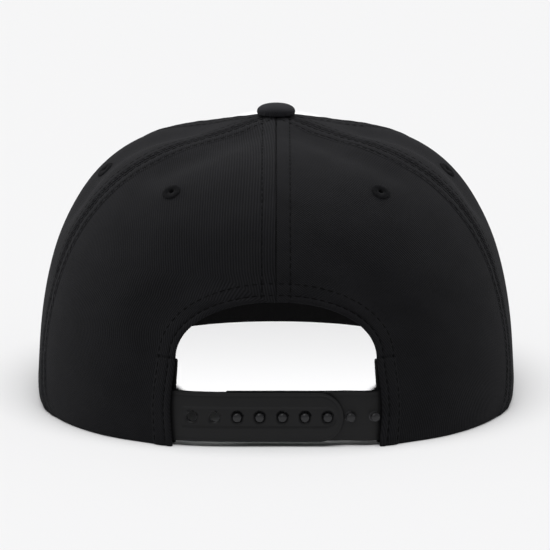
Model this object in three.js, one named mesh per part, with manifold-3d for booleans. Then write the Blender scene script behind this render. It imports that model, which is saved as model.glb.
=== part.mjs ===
// Snapback cap: six cloth panels, a nearly flat peak, a sweatband and a two-piece plastic snap strap.
// Millimetres, +Z up. The peak points along -Y and the opening with the strap faces +Y.
// Left and right are the wearer's: left is +X.
import * as THREE from 'three';
import { mergeVertices } from 'three/addons/utils/BufferGeometryUtils.js';
import Module from 'manifold-3d';

const wasm = await Module();
wasm.setup();

// Crown: outline at the base, height and curve of the wall
const CROWN_HALF_WIDTH = 95;
const CROWN_FRONT_REACH = 99;
const CROWN_REAR_REACH = 99;
const CROWN_HEIGHT = 105.8;
// A shallow point on the top, where the seams meet: its height, the share of the crown's reach it
// covers, and the exponent of its slope
const CROWN_POINT = 5.25;
const POINT_REACH = 0.385;
const POINT_CURVE = 1.5;
// Exponents of the outline's superellipse: 2 is an ellipse, more is squarer
const BASE_SQUARENESS = 2.214;
const TOP_SQUARENESS = 2;
// Exponents of the profile: shoulder works on the radius, wall on the height
const SIDE_PROFILE = { shoulder: 3.82, wall: 2.137 };
const FRONT_PROFILE = { shoulder: 2.6, wall: 2.3 };
const REAR_PROFILE = { shoulder: 2.7, wall: 2.3 };
// The lowest cloth turns in a little
const BASE_TUCK = 0.8;
const TUCK_HEIGHT = 8;

// Cloth and the clearances between the pieces
const SIDE_WALL = 1.6;
const FRONT_WALL = 2.2;
const SEAM_GAP = 0.3;
const LAYER_GAP = 0.4;

// Seams between the panels, degrees of azimuth from +X: at the base, at the button, and the bow between
const REAR_SEAM = { base: 25, top: 38, bow: 9.5 };
const FRONT_SEAM = { base: -32, top: -30, bow: 0 };
const SEAM_BOW_SKEW = 0.55;

// Soft folds of one half of the cap, mirrored on the other. Their lines run through places read
// like a globe's, in degrees. Depth and half width are shares of the crown's height.
const FOLDS = [
  { name: 'rear valley', azimuths: [62, 54, 44], latitudes: [82, 73, 63], halfWidth: 0.075, depth: 0.016 },
  { name: 'side valley', azimuths: [0, 3, 6], latitudes: [80, 65, 48], halfWidth: 0.12, depth: 0.03 },
  { name: 'arch shoulder', azimuths: [70, 62, 60], latitudes: [33, 22, 4], halfWidth: 0.11, depth: 0.014 },
  { name: 'side wall', azimuths: [12, 10, 8], latitudes: [24, 16, 8], halfWidth: 0.16, depth: 0.008 },
];

// Opening at the rear: straight tabs below, an arch above them
const TAB_HEIGHT = 33;
const TAB_HALF_SPAN = 39.3;
const ARCH_HALF_SPAN = 38;
const ARCH_TOP = 54.9;
const ARCH_SQUARENESS = 2.1;

// Ventilation eyelets, one in each panel, this far below the crown's height
const EYELET_DROP = 15.9;
const EYELET_AZIMUTHS = { rear: 54, side: -1, front: -58 };
const EYELET_RADIUS = 3.7;
const EYELET_BORE = 0.9;
const EYELET_BARREL = 1.5;
const EYELET_THICKNESS = 0.7;
const EYELET_INSIDE_GAP = 0.7;

// Button on the crown, on a stem that holds it through the panels
const BUTTON_RADIUS = 7.5;
const BUTTON_HEIGHT = 4.3;
const BUTTON_BELLY = 1;
const BUTTON_RIM_SHARE = 0.93;
const BUTTON_SQUARENESS = 2.4;
const BUTTON_CLEARANCE = 0.9;
const STEM_RADIUS = 2.2;
const STEM_CLEARANCE = 0.8;
const STEM_WASHER_RADIUS = 5;
const STEM_WASHER_THICKNESS = 1;

// Peak
const PEAK_REACH = 70;
const PEAK_END_ANGLE = 68;
const PEAK_END_MARGIN = 1.5;
const PEAK_SQUARENESS = 2.3;
const PEAK_THICKNESS = 3.2;
const PEAK_END_THICKNESS = 1.2;
const PEAK_TAPER_ANGLE = 14;
const PEAK_CAMBER = 6;
const PEAK_PITCH = 0.02;
// Rounded rim: distance in from the rim and what is taken off each face, shares of the thickness
const PEAK_RIM = [
  { back: 0.5, thin: 0 },
  { back: 0.15, thin: 0.13 },
  { back: 0, thin: 0.32 },
];

// Sweatband inside the base, from tab to tab
const BAND_HEIGHT = 32;
const BAND_THICKNESS = 1.4;
const BAND_LIFT = 0.5;
const BAND_END_SHOW = 1.5;
// The band stands off the cloth over the strap's sewn ends, and comes back to it past them
const BAND_POCKET_MARGIN = 2;
const BAND_POCKET_FADE = 20;

// Plastic strap: the piece with holes lies over the piece with studs
const STRAP_HEIGHT = 18.9;
const STRAP_BOTTOM = 1.9;
const STRAP_THICKNESS = 1.5;
const STRAP_LAP_GAP = 0.3;
const STRAP_ANCHOR = 14;
// How far the taut strap lies inside the crown's outline, and where that starts
const STRAP_DIP = 4;
const STRAP_DIP_REACH = 46;
const SNAP_COUNT = 7;
const SNAP_PITCH = 8.45;
const SNAPS_FASTENED = 5;
const FIRST_HOLE_X = 31.4;
const HOLE_RADIUS = 1.95;
const HOLE_RIM_RADIUS = 2.5;
const HOLE_RIM_DEPTH = 0.45;
const STUD_RADIUS = 1.5;
const STUD_RISE = 0.7;
const CHANNEL_HEIGHT = 7.2;
const CHANNEL_DEPTH = 0.25;
const CHANNEL_MARGIN = 3.3;
const HOLED_END_MARGIN = 6.3;
const STUDDED_END_MARGIN = 4.5;

// Fineness of the meshes
const PANEL_COLUMNS = 8;
const ARCH_ROWS = 7;
const UPPER_ROWS = 9;
const ROUND_SEGMENTS = 12;
const ROUND_END_ROWS = 8;
const STRAP_COLUMN = 5;

const { lerp, smoothstep, degToRad } = THREE.MathUtils;
const QUARTER = Math.PI / 2;

// A part of the crown's outline between side, front and rear values
function aroundCrown(azimuth, side, front, rear) {
  const lengthwise = Math.sin(azimuth) ** 2;
  return lerp(side, Math.sin(azimuth) < 0 ? front : rear, lengthwise);
}

function profileAt(azimuth) {
  const pick = (key) => aroundCrown(azimuth, SIDE_PROFILE[key], FRONT_PROFILE[key], REAR_PROFILE[key]);
  return { shoulder: pick('shoulder'), wall: pick('wall') };
}

// Radius of the crown's outline, before the profile draws it in
function outlineRadius(azimuth, squareness) {
  const reach = Math.sin(azimuth) < 0 ? CROWN_FRONT_REACH : CROWN_REAR_REACH;
  const across = Math.abs(Math.cos(azimuth) / CROWN_HALF_WIDTH) ** squareness;
  const along = Math.abs(Math.sin(azimuth) / reach) ** squareness;
  return (across + along) ** (-1 / squareness);
}

// The crown's surface without its folds
function smoothCrown(azimuth, latitude) {
  const { shoulder, wall } = profileAt(azimuth);
  const rise = Math.sin(latitude);
  const squareness = lerp(BASE_SQUARENESS, TOP_SQUARENESS, rise ** 3);
  const drawnIn = Math.cos(latitude) ** (2 / shoulder);
  const radius = outlineRadius(azimuth, squareness) * drawnIn;
  const point = CROWN_POINT * Math.max(1 - drawnIn / POINT_REACH, 0) ** POINT_CURVE;
  const height = CROWN_HEIGHT * rise ** (2 / wall) + point;
  return new THREE.Vector3(radius * Math.cos(azimuth), radius * Math.sin(azimuth), height);
}

function crownNormal(azimuth, latitude) {
  const step = 0.004;
  const low = Math.max(latitude - step, 0.001);
  const high = Math.min(latitude + step, QUARTER - 1e-5);
  const around = smoothCrown(azimuth + step, latitude).sub(smoothCrown(azimuth - step, latitude));
  const up = smoothCrown(azimuth, high).sub(smoothCrown(azimuth, low));
  return around.cross(up).normalize();
}

// Lines at the bottom of the soft folds, on both halves of the crown
const foldLines = FOLDS.flatMap((fold) => [false, true].map((mirrored) => {
  const places = fold.azimuths.map((degrees, i) => {
    const azimuth = degToRad(mirrored ? 180 - degrees : degrees);
    return smoothCrown(azimuth, degToRad(fold.latitudes[i]));
  });
  const stretches = places.slice(1).map((place, i) => new THREE.Line3(places[i], place));
  return { ...fold, stretches };
}));

function foldDepth(place) {
  const nearest = new THREE.Vector3();
  let depth = 0;
  for (const { stretches, halfWidth, depth: deepest } of foldLines) {
    const distances = stretches.map((line) => {
      line.closestPointToPoint(place, true, nearest);
      return nearest.distanceTo(place);
    });
    const spread = Math.min(...distances) / (halfWidth * CROWN_HEIGHT);
    depth += deepest * CROWN_HEIGHT * Math.exp(-spread * spread);
  }
  return depth;
}

// A point of the crown, or of a surface that lies inset inside it
function crownPoint(azimuth, latitude, inset = 0) {
  const point = smoothCrown(azimuth, latitude);
  const tuck = BASE_TUCK * Math.max(1 - point.z / TUCK_HEIGHT, 0) ** 2;
  const depth = inset + tuck + foldDepth(point);
  return point.addScaledVector(crownNormal(azimuth, latitude), -depth);
}

// Latitude at a height below the point on the top
function latitudeAtHeight(azimuth, height) {
  return Math.asin((height / CROWN_HEIGHT) ** (profileAt(azimuth).wall / 2));
}

// Latitude where the crown is drawn in to a radius near its top
function latitudeAtRadius(azimuth, radius) {
  const share = radius / outlineRadius(azimuth, TOP_SQUARENESS);
  return QUARTER - Math.asin(share ** (profileAt(azimuth).shoulder / 2));
}

function crownPointAtHeight(azimuth, height, inset = 0) {
  const point = crownPoint(azimuth, latitudeAtHeight(azimuth, height), inset);
  point.z = height;
  return point;
}

// Azimuth on the rear half where the crown is x wide at a height
function azimuthAtWidth(x, height) {
  let wide = 0;
  let narrow = Math.PI;
  for (let i = 0; i < 40; i++) {
    const middle = (wide + narrow) / 2;
    if (smoothCrown(middle, latitudeAtHeight(middle, height)).x > x) wide = middle;
    else narrow = middle;
  }
  return narrow;
}

function seamAzimuth(seam, latitude) {
  const share = latitude / QUARTER;
  const bow = seam.bow * Math.sin(Math.PI * share ** SEAM_BOW_SKEW);
  return degToRad(lerp(seam.base, seam.top, share) - bow);
}

// Peak: height of its underside above the surface that the cap rests on
const peakFront = -(CROWN_FRONT_REACH + PEAK_REACH);
const peakEndAzimuth = degToRad(PEAK_END_ANGLE) - QUARTER;
const peakEnd = smoothCrown(peakEndAzimuth, 0);
const peakHalfWidth = peakEnd.x + PEAK_END_MARGIN;

function peakDrop(x, y) {
  return PEAK_CAMBER * (x / peakHalfWidth) ** 2 + PEAK_PITCH * (-CROWN_FRONT_REACH - y);
}

function peakRimPoint(share) {
  const angle = Math.PI * (1 - share);
  const across = Math.cos(angle);
  const x = peakHalfWidth * Math.sign(across) * Math.abs(across) ** (2 / PEAK_SQUARENESS);
  const y = lerp(peakEnd.y, peakFront, Math.abs(Math.sin(angle)) ** (2 / PEAK_SQUARENESS));
  return new THREE.Vector3(x, y, 0);
}

let peakLift = 0;
for (let share = 0; share <= 1; share += 0.005) {
  const rim = peakRimPoint(share);
  peakLift = Math.max(peakLift, peakDrop(rim.x, rim.y));
}

function angleFromFront(azimuth) {
  return Math.abs(Math.atan2(Math.cos(azimuth), -Math.sin(azimuth)));
}

function peakThickness(azimuth) {
  const inwards = degToRad(PEAK_END_ANGLE) - angleFromFront(azimuth);
  return lerp(PEAK_END_THICKNESS, PEAK_THICKNESS, smoothstep(inwards, 0, degToRad(PEAK_TAPER_ANGLE)));
}

// Lower edge of the cloth: on the surface, and over the peak in front
function lowerEdge(azimuth) {
  const base = smoothCrown(azimuth, 0);
  const overPeak = peakLift - peakDrop(base.x, base.y) + peakThickness(azimuth) + LAYER_GAP;
  const beyond = angleFromFront(azimuth) - degToRad(PEAK_END_ANGLE);
  return overPeak * (1 - smoothstep(beyond, degToRad(8), degToRad(16)));
}

// A closed wall between an outer and an inner face, each a grid of points
function wallGeometry(rows, columns, outer, inner) {
  const positions = [];
  for (const face of [outer, inner]) {
    for (let row = 0; row <= rows; row++) {
      for (let column = 0; column <= columns; column++) {
        positions.push(...face(row, column).toArray());
      }
    }
  }
  const layer = (rows + 1) * (columns + 1);
  const at = (side, row, column) => side * layer + row * (columns + 1) + column;
  const faces = [];
  const quad = (a, b, c, d) => faces.push(a, b, c, a, c, d);
  for (let row = 0; row < rows; row++) {
    for (let column = 0; column < columns; column++) {
      const corners = [[row, column], [row, column + 1], [row + 1, column + 1], [row + 1, column]];
      quad(...corners.map(([r, c]) => at(0, r, c)));
      quad(...corners.map(([r, c]) => at(1, r, c)).reverse());
    }
    quad(at(0, row, 0), at(0, row + 1, 0), at(1, row + 1, 0), at(1, row, 0));
    quad(at(1, row, columns), at(1, row + 1, columns), at(0, row + 1, columns), at(0, row, columns));
  }
  for (let column = 0; column < columns; column++) {
    quad(at(1, 0, column), at(1, 0, column + 1), at(0, 0, column + 1), at(0, 0, column));
    quad(at(0, rows, column), at(0, rows, column + 1), at(1, rows, column + 1), at(1, rows, column));
  }
  const geometry = new THREE.BufferGeometry();
  geometry.setAttribute('position', new THREE.Float32BufferAttribute(positions, 3));
  return geometry.setIndex(faces);
}

// Boolean cuts and joins
function solidOf(geometry) {
  const bare = geometry.clone();
  bare.deleteAttribute('normal');
  bare.deleteAttribute('uv');
  const merged = mergeVertices(bare, 1e-4);
  const vertProperties = new Float32Array(merged.getAttribute('position').array);
  const triVerts = new Uint32Array(merged.index.array);
  return new wasm.Manifold(new wasm.Mesh({ numProp: 3, vertProperties, triVerts }));
}

function geometryOf(solid) {
  const { vertProperties, triVerts } = solid.getMesh();
  const geometry = new THREE.BufferGeometry();
  geometry.setAttribute('position', new THREE.BufferAttribute(vertProperties, 3));
  return geometry.setIndex(new THREE.BufferAttribute(triVerts, 1));
}

function carved(geometry, cutters) {
  return geometryOf(cutters.reduce((solid, cutter) => solid.subtract(solidOf(cutter)), solidOf(geometry)));
}

function joined(geometry, additions) {
  return geometryOf(additions.reduce((solid, added) => solid.add(solidOf(added)), solidOf(geometry)));
}

// Turns a shape made round +Y so that its axis lies along a direction through a point
function aimed(geometry, point, direction) {
  const turn = new THREE.Quaternion().setFromUnitVectors(new THREE.Vector3(0, 1, 0), direction);
  return geometry.applyQuaternion(turn).translate(point.x, point.y, point.z);
}

function turnedGeometry(profile, segments) {
  return new THREE.LatheGeometry(profile.map(([radius, height]) => new THREE.Vector2(radius, height)), segments);
}

const cap = new THREE.Group();

function addMesh(name, geometry, material) {
  geometry.computeVertexNormals();
  const mesh = new THREE.Mesh(geometry, material);
  mesh.name = name;
  cap.add(mesh);
}

const clothMaterial = () => new THREE.MeshStandardMaterial({ color: '#1b1b1c', roughness: 0.95 });
const threadMaterial = () => new THREE.MeshStandardMaterial({ color: '#202021', roughness: 0.7 });
const bandMaterial = () => new THREE.MeshStandardMaterial({ color: '#111112', roughness: 0.98 });
const plasticMaterial = () => new THREE.MeshStandardMaterial({ color: '#29292b', roughness: 0.45 });

// Panels: rows run from the lower edge over the arch's heights to the hole under the button
const archSteps = Array.from({ length: ARCH_ROWS + 1 }, (_, i) => (i / ARCH_ROWS) * QUARTER);
const archRise = (step) => lerp(TAB_HEIGHT, ARCH_TOP, Math.sin(step) ** (2 / ARCH_SQUARENESS));
const lowerHeights = [0, TUCK_HEIGHT, STRAP_BOTTOM + STRAP_HEIGHT, ...archSteps.map(archRise)];
const panelRows = lowerHeights.length - 1 + UPPER_ROWS;
const stemHoleRadius = STEM_RADIUS + STEM_CLEARANCE;

function upperLatitude(azimuth, share) {
  const { shoulder } = profileAt(azimuth);
  const start = QUARTER - latitudeAtHeight(azimuth, ARCH_TOP);
  const hole = QUARTER - latitudeAtRadius(azimuth, stemHoleRadius);
  const stop = (hole / start) ** (2 / shoulder);
  return QUARTER - start * lerp(1, stop, share) ** (shoulder / 2);
}

function rowLatitude(azimuth, row) {
  const share = (row - (lowerHeights.length - 1)) / UPPER_ROWS;
  if (share > 0) return upperLatitude(azimuth, share);
  const height = lerp(lowerEdge(azimuth), ARCH_TOP, lowerHeights[row] / ARCH_TOP);
  return latitudeAtHeight(azimuth, height);
}

// Half the opening's width at a height
function openingHalfSpan(height) {
  if (height <= TAB_HEIGHT) return lerp(TAB_HALF_SPAN, ARCH_HALF_SPAN, height / TAB_HEIGHT);
  const share = Math.min((height - TAB_HEIGHT) / (ARCH_TOP - TAB_HEIGHT), 1);
  return ARCH_HALF_SPAN * (1 - share ** ARCH_SQUARENESS) ** (1 / ARCH_SQUARENESS);
}

// Azimuth of a panel's edge in a row, half a seam gap short of the seam
function panelEdge(row, seamAt, side) {
  let azimuth = seamAt(0);
  for (let i = 0; i < 4; i++) azimuth = seamAt(rowLatitude(azimuth, row));
  const base = smoothCrown(azimuth, rowLatitude(azimuth, row));
  return azimuth + (side * SEAM_GAP) / 2 / Math.hypot(base.x, base.y);
}

function rearEdge(row) {
  const centre = panelEdge(row, () => QUARTER, -1);
  if (row >= lowerHeights.length - 1) return centre;
  const height = lowerHeights[row];
  return Math.min(centre, azimuthAtWidth(openingHalfSpan(height), height));
}

// Edges of the left panels; a right panel's are these, mirrored
const leftPanels = {
  rear: { from: (row) => panelEdge(row, (l) => seamAzimuth(REAR_SEAM, l), 1), to: rearEdge, wall: SIDE_WALL },
  side: {
    from: (row) => panelEdge(row, (l) => seamAzimuth(FRONT_SEAM, l), 1),
    to: (row) => panelEdge(row, (l) => seamAzimuth(REAR_SEAM, l), -1),
    wall: SIDE_WALL,
  },
  front: {
    from: (row) => panelEdge(row, () => -QUARTER, 1),
    to: (row) => panelEdge(row, (l) => seamAzimuth(FRONT_SEAM, l), -1),
    wall: FRONT_WALL,
  },
};

function eyeletSeat(azimuth) {
  const latitude = latitudeAtHeight(azimuth, CROWN_HEIGHT - EYELET_DROP);
  const step = EYELET_RADIUS / CROWN_HEIGHT;
  const around = crownPoint(azimuth + step, latitude).sub(crownPoint(azimuth - step, latitude));
  const up = crownPoint(azimuth, latitude + step).sub(crownPoint(azimuth, latitude - step));
  return { point: crownPoint(azimuth, latitude), direction: around.cross(up).normalize() };
}

function panelGeometry({ from, to, wall }, mirrored, eyelet) {
  const edges = Array.from({ length: panelRows + 1 }, (_, row) => {
    const ends = [from(row), to(row)];
    return mirrored ? ends.map((azimuth) => Math.PI - azimuth).reverse() : ends;
  });
  const face = (inset) => (row, column) => {
    const azimuth = lerp(...edges[row], column / PANEL_COLUMNS);
    const point = crownPoint(azimuth, rowLatitude(azimuth, row), inset);
    if (row === 0) point.z = lowerEdge(azimuth);
    return point;
  };
  const sheet = wallGeometry(panelRows, PANEL_COLUMNS, face(0), face(wall));
  const holeRadius = EYELET_BARREL + LAYER_GAP;
  const drill = new THREE.CylinderGeometry(holeRadius, holeRadius, wall * 6, ROUND_SEGMENTS);
  return carved(sheet, [aimed(drill, eyelet.point, eyelet.direction)]);
}

// Stitched eyelet: a flange on each face, joined by a barrel through the panel's hole
function eyeletGeometry(wall) {
  const insideTop = -wall - EYELET_INSIDE_GAP;
  const insideEnd = insideTop - EYELET_THICKNESS;
  const outsideEnd = SEAM_GAP + EYELET_THICKNESS;
  const profile = [
    [EYELET_BORE, insideEnd],
    [EYELET_RADIUS, insideEnd],
    [EYELET_RADIUS, insideTop],
    [EYELET_BARREL, insideTop],
    [EYELET_BARREL, SEAM_GAP],
    [EYELET_RADIUS, SEAM_GAP],
    [EYELET_RADIUS - EYELET_THICKNESS / 2, outsideEnd],
    [EYELET_BORE + EYELET_THICKNESS / 2, outsideEnd],
    [EYELET_BORE, SEAM_GAP],
    [EYELET_BORE, insideEnd],
  ];
  return turnedGeometry(profile, ROUND_SEGMENTS);
}

for (const [place, panel] of Object.entries(leftPanels)) {
  for (const mirrored of [false, true]) {
    const half = mirrored ? 'right' : 'left';
    const degrees = EYELET_AZIMUTHS[place];
    const seat = eyeletSeat(degToRad(mirrored ? 180 - degrees : degrees));
    addMesh(`${place}_panel_${half}`, panelGeometry(panel, mirrored, seat), clothMaterial());
    const eyelet = aimed(eyeletGeometry(panel.wall), seat.point, seat.direction);
    addMesh(`${place}_eyelet_${half}`, eyelet, threadMaterial());
  }
}

// Button: a cloth dome on a stem with a washer inside the crown
function buttonGeometry() {
  // The front slopes most, so the washer's height is taken there
  const crownHeight = (azimuth, radius) => smoothCrown(azimuth, latitudeAtRadius(azimuth, radius)).z;
  const rimRadius = BUTTON_RADIUS * BUTTON_RIM_SHARE;
  const rim = crownHeight(0, rimRadius) + BUTTON_CLEARANCE;
  const belly = rim + BUTTON_BELLY;
  const inside = crownHeight(-QUARTER, STEM_WASHER_RADIUS) - FRONT_WALL - LAYER_GAP;
  const dome = [];
  const steps = 6;
  for (let i = 0; i <= steps; i++) {
    const angle = (i / steps) * QUARTER;
    const radius = BUTTON_RADIUS * Math.cos(angle) ** (2 / BUTTON_SQUARENESS);
    const height = lerp(belly, rim + BUTTON_HEIGHT, Math.sin(angle) ** (2 / BUTTON_SQUARENESS));
    dome.push([i === steps ? 0 : radius, height]);
  }
  const profile = [
    [0, inside - STEM_WASHER_THICKNESS],
    [STEM_WASHER_RADIUS, inside - STEM_WASHER_THICKNESS],
    [STEM_WASHER_RADIUS, inside],
    [STEM_RADIUS, inside],
    [STEM_RADIUS, CROWN_HEIGHT + CROWN_POINT],
    [rimRadius, rim],
    ...dome,
  ];
  return turnedGeometry(profile, ROUND_SEGMENTS * 2).rotateX(QUARTER);
}
addMesh('button', buttonGeometry(), clothMaterial());

// Peak: lines from its inner edge, under the front panels, out to its rim
function peakGeometry() {
  const columns = 28;
  const flatRows = 4;
  const rows = flatRows + PEAK_RIM.length - 2;
  const face = (side) => (row, column) => {
    const share = column / columns;
    const azimuth = lerp(-QUARTER - degToRad(PEAK_END_ANGLE), -QUARTER + degToRad(PEAK_END_ANGLE), share);
    const inner = crownPointAtHeight(azimuth, lowerEdge(azimuth), FRONT_WALL).setZ(0);
    const rim = peakRimPoint(share);
    const thickness = peakThickness(azimuth);
    const rimRow = PEAK_RIM[Math.max(row - flatRows + 1, 0)];
    const flatShare = Math.min(row / (flatRows - 1), 1);
    const back = (rimRow.back * thickness) / inner.distanceTo(rim);
    const point = inner.lerp(rim, flatShare * (1 - back));
    const under = peakLift - peakDrop(point.x, point.y);
    const thin = row < flatRows - 1 ? 0 : rimRow.thin * thickness;
    point.z = under + (side === 'under' ? thin : thickness - thin);
    return point;
  };
  return wallGeometry(rows, columns, face('under'), face('top'));
}
addMesh('peak', peakGeometry(), clothMaterial());

// Strap: how far the taut strap lies inside the crown's outline at a width
function strapDip(x) {
  return STRAP_DIP * Math.max(1 - (x / STRAP_DIP_REACH) ** 2, 0) ** 2;
}

function strapPoint(x, height, depth) {
  const inset = SIDE_WALL + LAYER_GAP + strapDip(x) + depth;
  return crownPointAtHeight(azimuthAtWidth(x, height), height, inset);
}

// A length of strap between two widths, from the wearer's left to the right, with one end round
function strapGeometry({ left, right, roundEnd, bottom, height, front, back }) {
  const columns = Math.round((left - right) / STRAP_COLUMN);
  const rows = roundEnd ? ROUND_END_ROWS : 3;
  const face = (depthAt) => (row, column) => {
    // Rows follow the half circle of a round end, and are even without one
    const angle = (row / rows - 0.5) * Math.PI;
    const up = roundEnd ? (1 + Math.sin(angle)) / 2 : row / rows;
    const end = roundEnd ? right + (height / 2) * (1 - Math.cos(angle)) : right;
    const x = lerp(left, end, column / columns);
    return strapPoint(x, bottom + height * up, depthAt(x));
  };
  return wallGeometry(rows, columns, face(front), face(back));
}

const strapMiddle = STRAP_BOTTOM + STRAP_HEIGHT / 2;
const snapX = (index) => FIRST_HOLE_X - SNAP_PITCH * index;

// Where a snap sits on the strap, and which way it faces
function snapSeat(x, depth) {
  const point = strapPoint(x, strapMiddle, depth);
  const along = strapPoint(x - 1, strapMiddle, depth).sub(strapPoint(x + 1, strapMiddle, depth));
  return { point, direction: along.cross(new THREE.Vector3(0, 0, 1)).normalize() };
}

// The studded piece slips under the holed piece past the right tab
const lapDepth = STRAP_THICKNESS + STRAP_LAP_GAP;
const holedEnd = snapX(SNAP_COUNT - 1) - HOLED_END_MARGIN;
const studdedDepth = (x) => lapDepth * smoothstep(x, BAND_END_SHOW - ARCH_HALF_SPAN, holedEnd - STRAP_LAP_GAP);
const anchorX = TAB_HALF_SPAN + STRAP_ANCHOR;

function holedStrapGeometry() {
  const band = strapGeometry({
    left: anchorX,
    right: holedEnd,
    roundEnd: true,
    bottom: STRAP_BOTTOM,
    height: STRAP_HEIGHT,
    front: () => 0,
    back: () => STRAP_THICKNESS,
  });
  const channel = strapGeometry({
    left: snapX(0) + CHANNEL_MARGIN,
    right: snapX(SNAP_COUNT - 1) - CHANNEL_MARGIN,
    roundEnd: true,
    bottom: strapMiddle - CHANNEL_HEIGHT / 2,
    height: CHANNEL_HEIGHT,
    front: () => -1,
    back: () => CHANNEL_DEPTH,
  });
  const cutters = [channel];
  for (let index = 0; index < SNAP_COUNT; index++) {
    const seat = snapSeat(snapX(index), CHANNEL_DEPTH);
    const rim = new THREE.CylinderGeometry(HOLE_RIM_RADIUS + 1, HOLE_RADIUS, 1 + HOLE_RIM_DEPTH, ROUND_SEGMENTS);
    rim.translate(0, (1 - HOLE_RIM_DEPTH) / 2, 0);
    const drill = new THREE.CylinderGeometry(HOLE_RADIUS, HOLE_RADIUS, STRAP_THICKNESS * 4, ROUND_SEGMENTS);
    cutters.push(aimed(drill, seat.point, seat.direction), aimed(rim, seat.point, seat.direction));
  }
  return carved(band, cutters);
}

function studdedStrapGeometry() {
  const firstStud = SNAP_COUNT - SNAPS_FASTENED;
  const band = strapGeometry({
    left: snapX(firstStud) + STUDDED_END_MARGIN,
    right: -anchorX,
    roundEnd: false,
    bottom: STRAP_BOTTOM,
    height: STRAP_HEIGHT,
    front: studdedDepth,
    back: (x) => studdedDepth(x) + STRAP_THICKNESS,
  });
  const studLength = lapDepth + STUD_RISE;
  const studs = [];
  for (let index = firstStud; index < firstStud + SNAP_COUNT; index++) {
    const x = snapX(index);
    const seat = snapSeat(x, studdedDepth(x) + STRAP_THICKNESS / 2);
    const profile = [
      [0, 0],
      [STUD_RADIUS, 0],
      [STUD_RADIUS, STRAP_THICKNESS / 2 + studLength - STUD_RADIUS / 3],
      [STUD_RADIUS * 0.7, STRAP_THICKNESS / 2 + studLength],
      [0, STRAP_THICKNESS / 2 + studLength],
    ];
    studs.push(aimed(turnedGeometry(profile, ROUND_SEGMENTS), seat.point, seat.direction));
  }
  return joined(band, studs);
}
addMesh('strap_holes', holedStrapGeometry(), plasticMaterial());
addMesh('strap_studs', studdedStrapGeometry(), plasticMaterial());

// Sweatband: close inside the cloth, and inside the strap's ends where these are sewn in
function bandInset(azimuth) {
  const forward = -Math.sin(azimuth);
  const frontStart = -degToRad(FRONT_SEAM.base);
  const cloth = lerp(SIDE_WALL, FRONT_WALL, smoothstep(Math.asin(forward), frontStart * 0.6, frontStart * 0.9));
  if (forward > 0) return cloth + LAYER_GAP;
  const x = Math.abs(smoothCrown(azimuth, 0).x);
  const pocketEnd = anchorX + BAND_POCKET_MARGIN;
  const pocket = 1 - smoothstep(x, pocketEnd, pocketEnd + BAND_POCKET_FADE);
  return cloth + LAYER_GAP + strapDip(x) + pocket * (STRAP_THICKNESS + LAYER_GAP);
}

function bandGeometry() {
  const columns = 48;
  const rows = 3;
  const end = azimuthAtWidth(ARCH_HALF_SPAN - BAND_END_SHOW, 0);
  const face = (depth) => (row, column) => {
    const azimuth = lerp(-Math.PI - end, end, column / columns);
    const edge = Math.max(lowerEdge(azimuth) - peakThickness(azimuth) - LAYER_GAP, 0) + BAND_LIFT;
    const height = lerp(edge, BAND_HEIGHT, row / rows);
    return crownPointAtHeight(azimuth, height, bandInset(azimuth) + depth);
  };
  return wallGeometry(rows, columns, face(0), face(BAND_THICKNESS));
}
addMesh('sweatband', bandGeometry(), bandMaterial());

// The origin lies under the middle of the whole cap, on the surface it rests on
const extent = new THREE.Box3().setFromObject(cap);
const middle = extent.getCenter(new THREE.Vector3());
cap.position.set(-middle.x, -middle.y, -extent.min.z);

const assembly = new THREE.Group();
assembly.add(cap);

export default assembly;
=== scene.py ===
import math
import bpy
import numpy as np
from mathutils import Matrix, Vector


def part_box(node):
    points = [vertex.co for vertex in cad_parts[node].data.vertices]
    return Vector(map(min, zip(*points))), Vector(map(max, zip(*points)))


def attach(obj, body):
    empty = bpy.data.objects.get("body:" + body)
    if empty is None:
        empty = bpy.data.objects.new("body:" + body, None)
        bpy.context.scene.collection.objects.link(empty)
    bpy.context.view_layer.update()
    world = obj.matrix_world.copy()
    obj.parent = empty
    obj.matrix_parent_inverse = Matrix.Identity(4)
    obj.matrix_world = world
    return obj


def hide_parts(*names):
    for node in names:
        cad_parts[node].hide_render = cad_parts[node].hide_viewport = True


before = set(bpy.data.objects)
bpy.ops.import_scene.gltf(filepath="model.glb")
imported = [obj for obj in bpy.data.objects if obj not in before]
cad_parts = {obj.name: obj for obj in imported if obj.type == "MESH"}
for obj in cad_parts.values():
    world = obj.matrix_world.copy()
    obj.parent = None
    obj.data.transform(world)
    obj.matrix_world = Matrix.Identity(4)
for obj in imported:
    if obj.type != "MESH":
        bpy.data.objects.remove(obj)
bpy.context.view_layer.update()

# Crown panels: six gores of black cotton twill, the front pair stiffened from behind. Each is cut flat,
# sewn edge to edge with its neighbours, pressed open and topstitched. The opening at the back is hemmed.
# Lengths are millimetres from the middle of the crown's base; placed() turns them into the frame's metres.
MM = 0.001
QUARTER = math.pi / 2
CROWN_HALF_WIDTH = 95
CROWN_REACH = 99
CROWN_HEIGHT = 105.8
# The shallow point on the top: its height, the share of the reach it covers, the exponent of its slope
CROWN_POINT = 5.25
POINT_REACH = 0.385
POINT_CURVE = 1.5
BASE_SQUARENESS = 2.214
TOP_SQUARENESS = 2
# The curve of the wall: shoulder works on the radius, wall on the height
SIDE_PROFILE = {"shoulder": 3.82, "wall": 2.137}
FRONT_PROFILE = {"shoulder": 2.6, "wall": 2.3}
REAR_PROFILE = {"shoulder": 2.7, "wall": 2.3}
BASE_TUCK = 0.8
TUCK_HEIGHT = 8
SIDE_CLOTH = 1.6
FRONT_CLOTH = 2.2
LAYER_GAP = 0.4
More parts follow.
